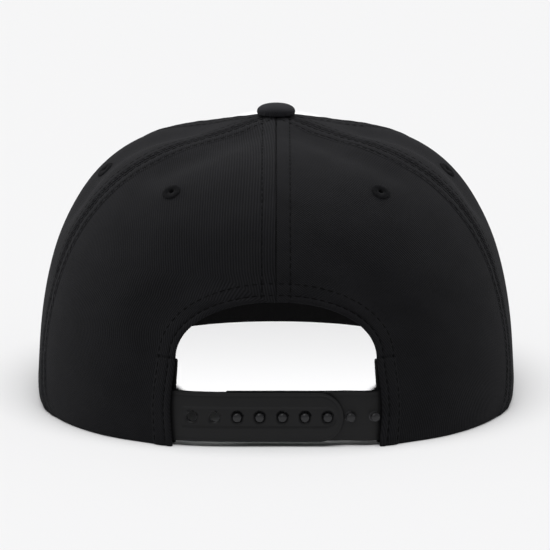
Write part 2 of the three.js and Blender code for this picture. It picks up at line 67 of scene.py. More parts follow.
# Seams: degrees of azimuth at the base and at the button, and the bow between
REAR_SEAM = {"base": 25, "top": 38, "bow": 9.5}
FRONT_SEAM = {"base": -32, "top": -30, "bow": 0}
CENTRE_BACK = {"base": 90, "top": 90, "bow": 0}
CENTRE_FRONT = {"base": -90, "top": -90, "bow": 0}
SEAM_BOW_SKEW = 0.55
# Soft folds: a line through three places in degrees, half width and depth as shares of the height
FOLDS = [
    {"azimuths": (62, 54, 44), "latitudes": (82, 73, 63), "half_width": 0.075, "depth": 0.016},
    {"azimuths": (0, 3, 6), "latitudes": (80, 65, 48), "half_width": 0.12, "depth": 0.03},
    {"azimuths": (70, 62, 60), "latitudes": (33, 22, 4), "half_width": 0.11, "depth": 0.014},
    {"azimuths": (12, 10, 8), "latitudes": (24, 16, 8), "half_width": 0.16, "depth": 0.008},
]
TAB_HEIGHT = 33
TAB_HALF_SPAN = 39.3
# The sewn-in strap pulls the tabs' edges apart
TAB_PULL = 1.3
ARCH_HALF_SPAN = 38
ARCH_TOP = 54.9
ARCH_SQUARENESS = 2.1
STEM_HOLE = 3
PEAK_REACH = 70
PEAK_END_ANGLE = 68
PEAK_END_MARGIN = 1.5
PEAK_SQUARENESS = 2.3
PEAK_THICKNESS = 3.2
PEAK_END_THICKNESS = 1.2
PEAK_TAPER_ANGLE = 14
PEAK_CAMBER = 6
PEAK_PITCH = 0.02

button_low, button_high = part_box("button")
crown_middle = np.array([(button_low.x + button_high.x) / 2, (button_low.y + button_high.y) / 2, 0])


def placed(points):
    return points * MM + crown_middle


def ease(value, low, high):
    share = np.clip((value - low) / (high - low), 0, 1)
    return share * share * (3 - 2 * share)


def mix(low, high, share):
    return low + (high - low) * share


def around_crown(azimuth, key):
    ends = np.where(np.sin(azimuth) < 0, FRONT_PROFILE[key], REAR_PROFILE[key])
    return mix(SIDE_PROFILE[key], ends, np.sin(azimuth) ** 2)


def outline_radius(azimuth, squareness):
    across = np.abs(np.cos(azimuth) / CROWN_HALF_WIDTH) ** squareness
    along = np.abs(np.sin(azimuth) / CROWN_REACH) ** squareness
    return (across + along) ** (-1 / squareness)


def smooth_crown(azimuth, latitude):
    rise = np.sin(latitude)
    squareness = mix(BASE_SQUARENESS, TOP_SQUARENESS, rise**3)
    drawn_in = np.cos(latitude) ** (2 / around_crown(azimuth, "shoulder"))
    radius = outline_radius(azimuth, squareness) * drawn_in
    point = CROWN_POINT * np.maximum(1 - drawn_in / POINT_REACH, 0) ** POINT_CURVE
    height = CROWN_HEIGHT * rise ** (2 / around_crown(azimuth, "wall")) + point
    return np.stack([radius * np.cos(azimuth), radius * np.sin(azimuth), height], -1)


def unit(vectors):
    return vectors / np.linalg.norm(vectors, axis=-1, keepdims=True)


def crown_normal(azimuth, latitude):
    step = 0.004
    low, high = np.maximum(latitude - step, 0.001), np.minimum(latitude + step, QUARTER - 1e-5)
    around = smooth_crown(azimuth + step, latitude) - smooth_crown(azimuth - step, latitude)
    return unit(np.cross(around, smooth_crown(azimuth, high) - smooth_crown(azimuth, low)))


def to_line(places, line):
    """Distance of each place from a line of straight stretches, and how far along the line that is."""
    stretch = np.diff(line, axis=0)
    length = np.linalg.norm(stretch, axis=1)
    offset = places[..., None, :] - line[:-1]
    share = np.clip((offset * stretch).sum(-1) / length**2, 0, 1)
    gap = np.linalg.norm(offset - share[..., None] * stretch, axis=-1)
    nearest = gap.argmin(-1)[..., None]
    along = np.concatenate([[0], np.cumsum(length)[:-1]]) + share * length
    return np.take_along_axis(gap, nearest, -1)[..., 0], np.take_along_axis(along, nearest, -1)[..., 0]


fold_lines = []
for fold in FOLDS:
    for mirrored in (False, True):
        azimuths = np.radians([180 - a if mirrored else a for a in fold["azimuths"]])
        line = smooth_crown(azimuths, np.radians(fold["latitudes"]))
        fold_lines.append((line, fold["half_width"] * CROWN_HEIGHT, fold["depth"] * CROWN_HEIGHT))


def crown(azimuth, latitude, inset=0):
    """Places on the crown, or on a surface that lies inset inside it."""
    place = smooth_crown(azimuth, latitude)
    depth = inset + BASE_TUCK * np.maximum(1 - place[..., 2] / TUCK_HEIGHT, 0) ** 2
    for line, half_width, deepest in fold_lines:
        depth = depth + deepest * np.exp(-((to_line(place, line)[0] / half_width) ** 2))
    return place - crown_normal(azimuth, latitude) * depth[..., None]


def latitude_at_height(azimuth, height):
    return np.arcsin((height / CROWN_HEIGHT) ** (around_crown(azimuth, "wall") / 2))


def crown_at_height(azimuth, height, inset=0):
    place = crown(azimuth, latitude_at_height(azimuth, height), inset)
    place[..., 2] = height
    return place


def azimuth_at_width(x, height):
    """Azimuth on the rear half where the crown is x wide at a height."""
    wide, narrow = np.zeros(np.broadcast(x, height).shape), np.full(np.broadcast(x, height).shape, math.pi)
    for _ in range(40):
        middle = (wide + narrow) / 2
        wider = smooth_crown(middle, latitude_at_height(middle, height))[..., 0] > x
        wide, narrow = np.where(wider, middle, wide), np.where(wider, narrow, middle)
    return narrow


def onto_crown(place):
    """Azimuth and latitude where a ray from the middle of the base through a place meets the crown."""
    azimuth = np.arctan2(place[..., 1], place[..., 0])
    wanted = np.arctan2(place[..., 2], np.hypot(place[..., 0], place[..., 1]))
    low, high = np.zeros_like(wanted), np.full_like(wanted, QUARTER)
    for _ in range(40):
        middle = (low + high) / 2
        point = smooth_crown(azimuth, middle)
        below = np.arctan2(point[..., 2], np.hypot(point[..., 0], point[..., 1])) < wanted
        low, high = np.where(below, middle, low), np.where(below, high, middle)
    return azimuth, (low + high) / 2


peak_end = smooth_crown(np.radians(PEAK_END_ANGLE) - QUARTER, 0.0)
peak_half_width = peak_end[0] + PEAK_END_MARGIN


def peak_drop(x, y):
    return PEAK_CAMBER * (x / peak_half_width) ** 2 + PEAK_PITCH * (-CROWN_REACH - y)


def peak_rim(share):
    angle = math.pi * (1 - share)
    across = np.cos(angle)
    x = peak_half_width * np.sign(across) * np.abs(across) ** (2 / PEAK_SQUARENESS)
    y = mix(peak_end[1], -CROWN_REACH - PEAK_REACH, np.abs(np.sin(angle)) ** (2 / PEAK_SQUARENESS))
    return np.stack([x, y, 0 * x], -1)


whole_rim = peak_rim(np.linspace(0, 1, 201))
peak_lift = peak_drop(whole_rim[:, 0], whole_rim[:, 1]).max()


def angle_from_front(azimuth):
    return np.abs(np.arctan2(np.cos(azimuth), -np.sin(azimuth)))


def peak_thickness(azimuth):
    inwards = math.radians(PEAK_END_ANGLE) - angle_from_front(azimuth)
    return mix(PEAK_END_THICKNESS, PEAK_THICKNESS, ease(inwards, 0, math.radians(PEAK_TAPER_ANGLE)))


def lower_edge(azimuth):
    """Height of the cloth's lower edge: on the surface at the back and sides, over the peak in front."""
    base = smooth_crown(azimuth, 0 * azimuth)
    over_peak = peak_lift - peak_drop(base[..., 0], base[..., 1]) + peak_thickness(azimuth) + LAYER_GAP
    beyond = angle_from_front(azimuth) - math.radians(PEAK_END_ANGLE)
    return over_peak * (1 - ease(beyond, math.radians(8), math.radians(16)))


def climb_latitude(azimuth, climb):
    """Latitude of a climb: 0 is the lower edge, 1 level with the arch's top, 2 the hole under the button."""
    edge = lower_edge(azimuth)
    below = latitude_at_height(azimuth, mix(edge, ARCH_TOP, np.minimum(climb, 1)))
    half_shoulder = around_crown(azimuth, "shoulder") / 2
    start = QUARTER - latitude_at_height(azimuth, ARCH_TOP)
    hole = np.arcsin((STEM_HOLE / outline_radius(azimuth, TOP_SQUARENESS)) ** half_shoulder)
    stop = (hole / start) ** (1 / half_shoulder)
    above = QUARTER - start * mix(1, stop, np.clip(climb - 1, 0, 1)) ** half_shoulder
    return np.where(climb <= 1, below, above)


def seam_azimuth(seam, climb):
    azimuth = np.full_like(climb, math.radians(seam["base"]))
    for _ in range(5):
        share = climb_latitude(azimuth, climb) / QUARTER
        bow = seam["bow"] * np.sin(math.pi * share**SEAM_BOW_SKEW)
        azimuth = np.radians(mix(seam["base"], seam["top"], share) - bow)
    return azimuth


def opening_half_span(height):
    share = np.clip((height - TAB_HEIGHT) / (ARCH_TOP - TAB_HEIGHT), 0, 1)
    arch = ARCH_HALF_SPAN * (1 - share**ARCH_SQUARENESS) ** (1 / ARCH_SQUARENESS)
    up_tab = np.clip(height / TAB_HEIGHT, 0, 1)
    tab = mix(TAB_HALF_SPAN, ARCH_HALF_SPAN, up_tab) + TAB_PULL * np.sin(math.pi * up_tab) ** 1.5
    return np.where(height < TAB_HEIGHT, tab, arch)


def opening_azimuth(climb):
    height = climb * ARCH_TOP
    return np.minimum(azimuth_at_width(opening_half_span(height), height), QUARTER)


# Rows of the panels' meshes climb from the lower edge. At the opening they follow the arch and end at its
# top; away from it, beyond FAN, they spread evenly up to a little above the arch.
tuck_rows = TUCK_HEIGHT * np.linspace(0, 1, 13) ** 1.6
tab_rows = np.linspace(TUCK_HEIGHT, TAB_HEIGHT - 1, 19)[1:]
tab_top_rows = np.linspace(TAB_HEIGHT - 1, TAB_HEIGHT, 5)[1:]
notch_rows = np.array([0.25, 0.5, 0.75, 1, 1.4, 1.9])
notch_angles = np.arcsin((notch_rows / (ARCH_TOP - TAB_HEIGHT)) ** (ARCH_SQUARENESS / 2))
arch_angles = np.concatenate([notch_angles, np.linspace(notch_angles[-1], QUARTER, 37)[1:]])
arch_rows = mix(TAB_HEIGHT, ARCH_TOP, np.sin(arch_angles) ** (2 / ARCH_SQUARENESS))
below_arch = np.concatenate([tuck_rows, tab_rows, tab_top_rows]) / ARCH_TOP
far_top = 1.07
upper_share = np.linspace(0, 1, 77)[1:]
NEAR_CLIMBS = np.concatenate([below_arch, arch_rows / ARCH_TOP, 1 + upper_share**1.25])
FAR_CLIMBS = np.concatenate([below_arch, np.linspace(TAB_HEIGHT / ARCH_TOP, far_top, len(arch_rows) + 1)[1:],
                             mix(far_top, 2, upper_share**1.2)])
FAN = 22
# Columns are close within this distance of an edge
EDGE_ZONE = 9
EDGE_COLUMNS = 26
MIDDLE_COLUMNS = 22

# Topstitching at distances from an edge, and how far the turned-in cloth stands proud, to what width
EDGES = {
    "centre seam": {"rows": (5.3,), "proud": 0.28, "width": 6.6},
    "side seam": {"rows": (1.7, 5.2), "proud": 0.4, "width": 6.4},
    "hem": {"rows": (2.5, 7.0), "proud": 0.45, "width": 7.8},
    "base": {"rows": (), "proud": 0.0, "width": 2.0},
}
STITCH_SINK = 0.3
STITCH_SINK_WIDTH = 0.5
# The seams' many layers lift the cloth round the button
TOP_BUNCH = 0.6
BUNCH_START = 4
BUNCH_END = 17
TAB_PROUD = 0.35
TAB_NOTCH = 0.55
PUCKER = 0.1


def wobble(along, seed, lengths):
    """A soft random wave along a line, about -1 to 1, from sines of these lengths."""
    phases = np.random.default_rng(seed).uniform(0, 2 * math.pi, len(lengths))
    waves = [np.sin(2 * math.pi * along / length + phase) for length, phase in zip(lengths, phases)]
    return sum(waves) / len(lengths)


def button_lift(place):
    distance = np.hypot(place[..., 0], place[..., 1])
    return TOP_BUNCH * (1 - ease(distance, BUNCH_START, BUNCH_END))


def cloth_depth(place, borders, cloth, seed):
    """How far the outer face lies below the plain crown here, and how far the edges are rolled in."""
    proud, rolled, sunk = button_lift(place), 0, 0
    for number, (kind, line) in enumerate(borders):
        edge = EDGES[kind]
        distance, along = to_line(place, line)
        stands = edge["proud"] * (1 - ease(distance, edge["width"] - 0.7, edge["width"] + 0.1))
        if kind == "hem":
            on_tab = 1 - ease(place[..., 2], TAB_HEIGHT - 0.5, TAB_HEIGHT + 0.3)
            near = 1 - ease(distance, edge["width"] - 0.6, edge["width"])
            stands = stands + TAB_PROUD * on_tab * near
            sunk = sunk + TAB_NOTCH * near * np.exp(-(((place[..., 2] - TAB_HEIGHT - 0.4) / 0.6) ** 2))
        proud = np.maximum(proud, stands)
        radius = 0.48 * (cloth + edge["proud"])
        inward = np.maximum(radius - distance, 0)
        rolled = np.maximum(rolled, radius - np.sqrt(radius**2 - inward**2))
        for row in edge["rows"]:
            sunk = sunk + STITCH_SINK * np.exp(-(((distance - row) / STITCH_SINK_WIDTH) ** 2))
            sway = wobble(along, seed + number, (6.1, 9.7, 14.3))
            sunk = sunk + PUCKER * sway * np.exp(-(((distance - row) / 2.6) ** 2))
    return rolled + sunk - proud, rolled


def panel_borders(start, stop, opening):
    """The panel's edges as lines in azimuth and latitude."""
    borders = []
    climb = np.concatenate([np.linspace(0, 1, 50), np.linspace(1, 2, 70)[1:]])
    for seam in (start, stop):
        kind = "side seam" if seam in (REAR_SEAM, FRONT_SEAM) else "centre seam"
        climbs = climb[climb >= 1] if opening and kind == "centre seam" else climb
        azimuth = seam_azimuth(seam, climbs)
        borders.append((kind, azimuth, climb_latitude(azimuth, climbs)))
    if opening:
        steps = np.linspace(0, QUARTER, 60)
        heights = np.concatenate([np.linspace(0, TAB_HEIGHT, 24)[:-1],
                                  mix(TAB_HEIGHT, ARCH_TOP, np.sin(steps) ** (2 / ARCH_SQUARENESS))])
        azimuth = opening_azimuth(heights / ARCH_TOP)
        borders.append(("hem", azimuth, latitude_at_height(azimuth, heights)))
    end = opening_azimuth(np.zeros(1))[0] if opening else math.radians(stop["base"])
    azimuth = np.linspace(math.radians(start["base"]), end, 60)
    borders.append(("base", azimuth, climb_latitude(azimuth, 0 * azimuth)))
    return borders


def closed_wall(outer, inner):
    """Vertices and faces of a closed wall between two grids of places."""
    rows, columns = outer.shape[:2]
    index = np.arange(2 * rows * columns).reshape(2, rows, columns)

    def strip(low, high):
        return np.stack([low[..., :-1], low[..., 1:], high[..., 1:], high[..., :-1]], -1).reshape(-1, 4)

    faces = [
        strip(index[0, :-1], index[0, 1:]),
        strip(index[1, 1:], index[1, :-1]),
        strip(index[1, 0], index[0, 0]),
        strip(index[0, -1], index[1, -1]),
        strip(index[0, :, 0], index[1, :, 0]),
        strip(index[1, :, -1], index[0, :, -1]),
    ]
    return np.concatenate([outer.reshape(-1, 3), inner.reshape(-1, 3)]), np.concatenate(faces)


def make_piece(name, points, faces, cut=None, sharp=40):
    """A mesh object from places in metres; cut holds where each lies on the flat cloth, in metres."""
    mesh = bpy.data.meshes.new(name)
    mesh.from_pydata(points.tolist(), [], [list(face) for face in faces])
    if cut is not None:
        layer = mesh.uv_layers.new(name="cut")
        corners = np.zeros(len(mesh.loops), np.int32)
        mesh.loops.foreach_get("vertex_index", corners)
        layer.data.foreach_set("uv", cut[corners].astype(np.float32).ravel())
    mesh.shade_smooth()
    mesh.set_sharp_from_angle(angle=math.radians(sharp))
    piece = bpy.data.objects.new(name, mesh)
    bpy.context.scene.collection.objects.link(piece)
    return piece


def corners_of(piece):
    return np.array([corner.co for corner in piece.data.vertices])


def move_corners(piece, points):
    piece.data.vertices.foreach_set("co", points.astype(np.float32).ravel())


def carve(piece, tool, operation):
    """Cuts a tool out of a piece, or joins it on, and removes the tool."""
    modifier = piece.modifiers.new(operation, "BOOLEAN")
    modifier.operation = operation
    modifier.solver = "EXACT"
    modifier.object = tool
    made = bpy.data.meshes.new_from_object(piece.evaluated_get(bpy.context.evaluated_depsgraph_get()))
    piece.modifiers.clear()
    piece.data = made
    bpy.data.objects.remove(tool)


def turned(profile, sides, name="tool"):
    """A closed shape turned round +Z from (radius, height) pairs that start and end on the axis."""
    angles = np.linspace(0, 2 * math.pi, sides, endpoint=False)
    rings = [(r * np.cos(a), r * np.sin(a), h) for r, h in profile[1:-1] for a in angles]
    points = np.array([(0, 0, profile[0][1]), *rings, (0, 0, profile[-1][1])])
    last = len(points) - 1
    faces = []
    for side in range(sides):
        after = (side + 1) % sides
        faces.append((0, 1 + after, 1 + side))
        for ring in range(len(profile) - 3):
            low, high = 1 + ring * sides, 1 + (ring + 1) * sides
            faces.append((low + side, low + after, high + after, high + side))
        faces.append((last, last - sides + side, last - sides + after))
    return make_piece(name, points, faces)


def stand_at(points, place, direction):
    """Turns shapes made round +Z so that their axis lies along a direction through a place."""
    turn = np.array(Vector((0, 0, 1)).rotation_difference(Vector(direction)).to_matrix())
    return points @ turn.T + place


EYELET_DROP = 15.9
EYELET_AZIMUTHS = {"rear": 54, "side": -1, "front": -58}
EYELET_RADIUS = 3.7
EYELET_BARREL = 1.5


def eyelet_seat(place):
    azimuth = math.radians(EYELET_AZIMUTHS[place])
    latitude = latitude_at_height(azimuth, CROWN_HEIGHT - EYELET_DROP)
    step = EYELET_RADIUS / CROWN_HEIGHT
    around = crown(azimuth + step, latitude) - crown(azimuth - step, latitude)
    up = crown(azimuth, latitude + step) - crown(azimuth, latitude - step)
    return crown(azimuth, latitude), unit(np.cross(around, up))


# The twill's lines slant by these degrees from the level on each half, as the pieces were cut
PANELS = {
    "rear": {"start": REAR_SEAM, "stop": CENTRE_BACK, "cloth": SIDE_CLOTH, "opening": True,
             "slant": {"left": 116, "right": 118}},
    "side": {"start": FRONT_SEAM, "stop": REAR_SEAM, "cloth": SIDE_CLOTH, "opening": False,
             "slant": {"left": 66, "right": 128}},
    "front": {"start": CENTRE_FRONT, "stop": FRONT_SEAM, "cloth": FRONT_CLOTH, "opening": False,
              "slant": {"left": 60, "right": 64}},
}
HALVES = {"left": 1, "right": -1}


def panel_grid(start, stop, opening):
    """Azimuth and latitude of a left panel's mesh, and how far each place lies across and along the cut."""
    climbs = NEAR_CLIMBS if opening else FAR_CLIMBS
    edges = [seam_azimuth(start, FAR_CLIMBS), seam_azimuth(stop, climbs)]
    if opening:
        below = climbs < 1
        edges[1][below] = opening_azimuth(climbs[below])
    shares = np.linspace(0, 1, 97)
    azimuth = mix(edges[0][:, None], edges[1][:, None], shares)
    ends = [smooth_crown(edge, climb_latitude(edge, climbs)) for edge in edges]
    widths = np.linalg.norm(ends[1] - ends[0], axis=1)
    fan = np.minimum(FAN / widths, 0.9)[:, None]
    climb = mix(climbs[:, None], FAR_CLIMBS[:, None], ease((1 - shares) / fan, 0, 1))
    base = smooth_crown(azimuth, climb_latitude(azimuth, climb))
    steps = np.linalg.norm(np.diff(base, axis=1), axis=2)
    reach = np.concatenate([np.zeros((len(climbs), 1)), np.cumsum(steps, axis=1)], axis=1)
    near = EDGE_ZONE * np.linspace(0, 1, EDGE_COLUMNS + 1) ** 1.5
    rows = []
    for row, width in enumerate(reach[:, -1]):
        zone = near * min(1, 0.4 * width / EDGE_ZONE)
        inner = np.linspace(zone[-1], width - zone[-1], MIDDLE_COLUMNS + 1)[1:-1]
        across = np.concatenate([zone, inner, width - zone[::-1]])
        rows.append([np.interp(across, reach[row], azimuth[row]), np.interp(across, reach[row], climb[row]),
                     across - width / 2])
    azimuth, climb, across = np.array(rows).transpose(1, 0, 2)
    latitude = climb_latitude(azimuth, climb)
    middle = azimuth[:, azimuth.shape[1] // 2]
    line = smooth_crown(middle, latitude[:, azimuth.shape[1] // 2])
    climbed = np.concatenate([[0], np.cumsum(np.linalg.norm(np.diff(line, axis=0), axis=1))])
    return azimuth, latitude, across, np.interp(latitude, latitude[:, azimuth.shape[1] // 2], climbed)


def linear(hex_colour):
    """A linear colour from an sRGB hex value."""
    parts = [int(hex_colour[i:i + 2], 16) / 255 for i in (1, 3, 5)]
    return (*[p / 12.92 if p <= 0.04045 else ((p + 0.055) / 1.055) ** 2.4 for p in parts], 1)


def node(material, kind, inputs=None, **settings):
    """Adds a shader node; each input is a value or another node's output."""
    made = material.node_tree.nodes.new("ShaderNode" + kind)
    for name, value in settings.items():
        setattr(made, name, value)
    for name, value in (inputs or {}).items():
        if isinstance(value, bpy.types.NodeSocket):
            material.node_tree.links.new(value, made.inputs[name])
        else:
            made.inputs[name].default_value = value
    return made


def new_material(name):
    material = bpy.data.materials.new(name)
    material.use_nodes = True
    material.node_tree.nodes.clear()
    return material


# One period of Blender's wave texture is this long at scale 1
WAVE_PERIOD = 2 * math.pi / 20
# The twill's lines really lie about 0.7 mm apart, and are drawn a little wider
WALE_SPACING = 0.86
WALE_DEPTH = 0.14


def woven_twill(name, dark, light, wale=WALE_SPACING):
    """Black cotton twill: matt, with fine slanting lines, faint uneven dye, painted shade in the weave's low
    places, and a soft nap that lightens at grazing angles."""
    material = new_material(name)
    cut = node(material, "UVMap", uv_map="cut").outputs["UV"]
    grain = node(material, "Mapping", {"Vector": cut, "Scale": (1 / MM,) * 3}).outputs["Vector"]
    scale = WAVE_PERIOD / wale
    lines = node(material, "TexWave", {"Vector": grain, "Scale": scale, "Distortion": 0.9, "Detail": 2,
                                       "Detail Scale": 0.35}, bands_direction="X").outputs["Fac"]
    floats = node(material, "TexWave", {"Vector": grain, "Scale": scale * 1.4, "Distortion": 4.0, "Detail": 1,
                                        "Detail Scale": 1.3}, bands_direction="Y").outputs["Fac"]
    fuzz = node(material, "TexNoise", {"Vector": grain, "Scale": 2.6, "Detail": 3}).outputs["Fac"]
    dye = node(material, "TexNoise", {"Vector": grain, "Scale": 0.07, "Detail": 3}).outputs["Fac"]
    woven = node(material, "Math", {0: floats, 1: 0.3, 2: lines}, operation="MULTIPLY_ADD").outputs[0]
    height = node(material, "Math", {0: fuzz, 1: 0.9, 2: woven}, operation="MULTIPLY_ADD").outputs[0]
    # The colour follows the uneven dye and the weave's height: darker in the weave's low places and lighter
    # on its crests, painted shade on top of the bump.
    dye_and_painted_weave_shade = node(material, "Math", {0: dye, 1: 0.8, 2: height}, operation="MULTIPLY_ADD").outputs[0]
    share = node(material, "MapRange", {"Value": dye_and_painted_weave_shade, "From Min": 0.5, "From Max": 2.1}).outputs["Result"]
    colour = node(material, "Mix", {"Factor": share, "A": linear(dark), "B": linear(light)},
                  data_type="RGBA").outputs["Result"]
    bump = node(material, "Bump", {"Height": height, "Distance": WALE_DEPTH * MM, "Strength": 0.7})
    shader = node(material, "BsdfPrincipled", {
        "Base Color": colour, "Roughness": 0.95, "Specular IOR Level": 0.05, "Normal": bump.outputs["Normal"],
        "Sheen Weight": 0.02, "Sheen Roughness": 0.5, "Sheen Tint": linear("#c9cacf"),
    })
    node(material, "OutputMaterial", {"Surface": shader.outputs["BSDF"]})
    return material


twill = woven_twill("woven_cotton_twill", "#0a0a0b", "#1e1e20")

panel_cloths, panel_sizes = {}, {}
for number, (place, panel) in enumerate(PANELS.items()):
    borders = [(kind, crown(azimuth, latitude)) for kind, azimuth, latitude
               in panel_borders(panel["start"], panel["stop"], panel["opening"])]
    azimuth, latitude, across, climbed = panel_grid(panel["start"], panel["stop"], panel["opening"])
    base = crown(azimuth, latitude)
    normal = crown_normal(azimuth, latitude)
    seat, seat_direction = eyelet_seat(place)
    for half, sign in HALVES.items():
        seed = 10 * number + (sign < 0) * 100
        depth, rolled = cloth_depth(base, borders, panel["cloth"], seed)
        outer = base - normal * depth[..., None]
        inner = base - normal * (panel["cloth"] - rolled)[..., None]
        for face in (outer, inner):
            face[0, :, 2] = lower_edge(azimuth[0])
        if sign < 0:
            outer, inner = [face[:, ::-1] * (-1, 1, 1) for face in (outer, inner)]
        points, faces = closed_wall(outer, inner)
        flat = (np.stack([across, climbed], -1)[:, ::sign] * (sign, 1)).reshape(-1, 2)
        turn = QUARTER - math.radians(panel["slant"][half])
        slanted = flat @ np.array([(math.cos(turn), math.sin(turn)), (-math.sin(turn), math.cos(turn))])
        cut = np.concatenate([slanted] * 2) * MM
        panel_piece = make_piece(f"dressed_{place}_panel_{half}", placed(points), faces, cut)
        drill = turned([(0, -9), (EYELET_BARREL, -9), (EYELET_BARREL, 9), (0, 9)], 24)
        bored = stand_at(corners_of(drill), seat * (sign, 1, 1), seat_direction * (sign, 1, 1))
        move_corners(drill, placed(bored))
        carve(panel_piece, drill, "DIFFERENCE")
        panel_piece.data.materials.clear()
        panel_piece.data.materials.append(twill)
        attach(panel_piece, "root")
        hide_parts(f"{place}_panel_{half}")
        panel_cloths[place, half] = panel_piece
        upwards, sideways = outer[1:, :-1] - outer[:-1, :-1], outer[:-1, 1:] - outer[:-1, :-1]
        spread = np.linalg.norm(np.cross(upwards, sideways), axis=-1)
        size = (np.ptp(across) * MM, np.ptp(climbed) * MM)
        panel_sizes[place, half] = size, min(spread.sum() * MM**2, size[0] * size[1])

# Topstitching: black polyester thread in lockstitch, sewn by machine through the cloth and its turned-in
# edge. Each stitch is a short bowed piece that dives into the cloth at both ends.
STITCH_PITCH = 3.1
STITCH_LENGTH = 2.7
THREAD = 0.44
STITCH_SIDES = 6
PLY_SPACING = 0.35
# Rows stop this far from the button's middle and above the lower edge
STITCH_BUTTON_GAP = 7.4
STITCH_EDGE_GAP = 1.2


def thread_pieces(spots, up, thread=THREAD, bow=1.0):
    """Tubes along rows of places, dipping at both ends; gives points, faces and places on the thread."""
    share = np.linspace(-1, 1, spots.shape[1])
    along = unit(np.gradient(spots, axis=1))
    side = unit(np.cross(up, along))
    lift = thread * (0.08 - 0.7 * bow * share**4)
    spots = spots + up * lift[:, None]
    angles = np.linspace(0, 2 * math.pi, STITCH_SIDES, endpoint=False)
    radius = thread / 2 * (1 - 0.35 * share**6)
    ring = np.cos(angles)[:, None] * side[:, :, None] + np.sin(angles)[:, None] * up[:, :, None]
    points = spots[:, :, None] + ring * radius[:, None, None]
    count, stations = spots.shape[:2]
    index = np.arange(count * stations * STITCH_SIDES).reshape(count, stations, STITCH_SIDES)
    after = np.roll(index, -1, axis=2)
    sides = np.stack([index[:, :-1], index[:, 1:], after[:, 1:], after[:, :-1]], -1).reshape(-1, 4)
    lengths = np.linalg.norm(spots[:, -1] - spots[:, 0], axis=1)[:, None] * (share + 1) / 2
    cut = np.stack(np.broadcast_arrays(lengths[..., None], angles * thread / 2), -1)
    faces = [*sides.tolist(), *index[:, 0].tolist(), *index[:, -1, ::-1].tolist()]
    return points.reshape(-1, 3), faces, cut.reshape(-1, 2)


def sew(line, up, pitch=STITCH_PITCH, length=STITCH_LENGTH):
    """Stitches along a line of places on the cloth, with the cloth's direction at each."""
    reach = np.concatenate([[0], np.cumsum(np.linalg.norm(np.diff(line, axis=0), axis=1))])
    centres = np.arange(pitch / 2, reach[-1], pitch)
    at = centres[:, None] + np.linspace(-0.5, 0.5, 6) * length
    spots = np.stack([np.interp(at, reach, line[:, axis]) for axis in range(3)], -1)
    ups = np.stack([np.interp(at, reach, up[:, axis]) for axis in range(3)], -1)
    return thread_pieces(spots, unit(ups))


def join_parts(parts):
    points, faces, cuts, start = [], [], [], 0
    for some_points, some_faces, some_cut in parts:
        points.append(some_points)
        faces += [[corner + start for corner in face] for face in some_faces]
        cuts.append(some_cut)
        start += len(some_points)
    return np.concatenate(points), faces, np.concatenate(cuts)


def spun_thread(name, dark, light):
    """Spun polyester thread: two plies, a low silky gloss that catches the light along each stitch."""
    material = new_material(name)
    cut = node(material, "UVMap", uv_map="cut").outputs["UV"]
    turn = (0, 0, math.radians(35))
    plies = node(material, "Mapping", {"Vector": cut, "Scale": (1 / MM,) * 3, "Rotation": turn})
    twist = node(material, "TexWave", {"Vector": plies.outputs["Vector"],
                                       "Scale": WAVE_PERIOD / PLY_SPACING}).outputs["Fac"]
    colour = node(material, "Mix", {"Factor": twist, "A": linear(dark), "B": linear(light)},
                  data_type="RGBA").outputs["Result"]
    bump = node(material, "Bump", {"Height": twist, "Distance": 0.04 * MM, "Strength": 0.6}).outputs["Normal"]
    shader = node(material, "BsdfPrincipled", {
        "Base Color": colour, "Roughness": 0.85, "Specular IOR Level": 0.04, "Normal": bump,
    })
    node(material, "OutputMaterial", {"Surface": shader.outputs["BSDF"]})
    return material


topstitch_thread = spun_thread("spun_polyester_thread", "#070707", "#0f0f10")

for number, (place, panel) in enumerate(PANELS.items()):
    edges = panel_borders(panel["start"], panel["stop"], panel["opening"])
    borders = [(kind, crown(azimuth, latitude)) for kind, azimuth, latitude in edges]
    for half, sign in HALVES.items():
        seed = 10 * number + (sign < 0) * 100
        parts = []
        for side_number, (kind, azimuth, latitude) in enumerate(edges):
            line = smooth_crown(azimuth, latitude)
            up = crown_normal(azimuth, latitude)
            inwards = unit(np.cross(up, np.gradient(line, axis=0))) * (1 if side_number else -1)
            for distance in EDGES[kind]["rows"]:
                row_azimuth, row_latitude = onto_crown(line + inwards * distance)
                spots = crown(row_azimuth, row_latitude)
                row_up = crown_normal(row_azimuth, row_latitude)
                clear_of_button = np.hypot(spots[:, 0], spots[:, 1]) > STITCH_BUTTON_GAP
                kept = clear_of_button & (spots[:, 2] > lower_edge(row_azimuth) + STITCH_EDGE_GAP)
                spots, row_up = spots[kept], row_up[kept]
                depth, _ = cloth_depth(spots, borders, panel["cloth"], seed)
                spots = spots - row_up * depth[:, None]
                points, faces, cut = sew(spots, row_up)
                if sign < 0:
                    points = points * (-1, 1, 1)
                    faces = [face[::-1] for face in faces]
                parts.append((points, faces, cut * MM))
        points, faces, cut = join_parts(parts)
        stitching = make_piece(f"topstitching_{place}_{half}", placed(points), faces, cut, sharp=80)
        stitching.data.materials.append(topstitch_thread)
        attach(stitching, "root")
        size, area = panel_sizes[place, half]

# Ladder of thread that joins the two rear panels edge to edge: a short cross stitch every millimetre, pulled
# tight into the groove of the centre back seam, from the button down to where the seam is only butted.
LADDER_PITCH = 1.05
LADDER_LENGTH = 1.2
LADDER_FOOT = 72
LADDER_SINK = 0.25

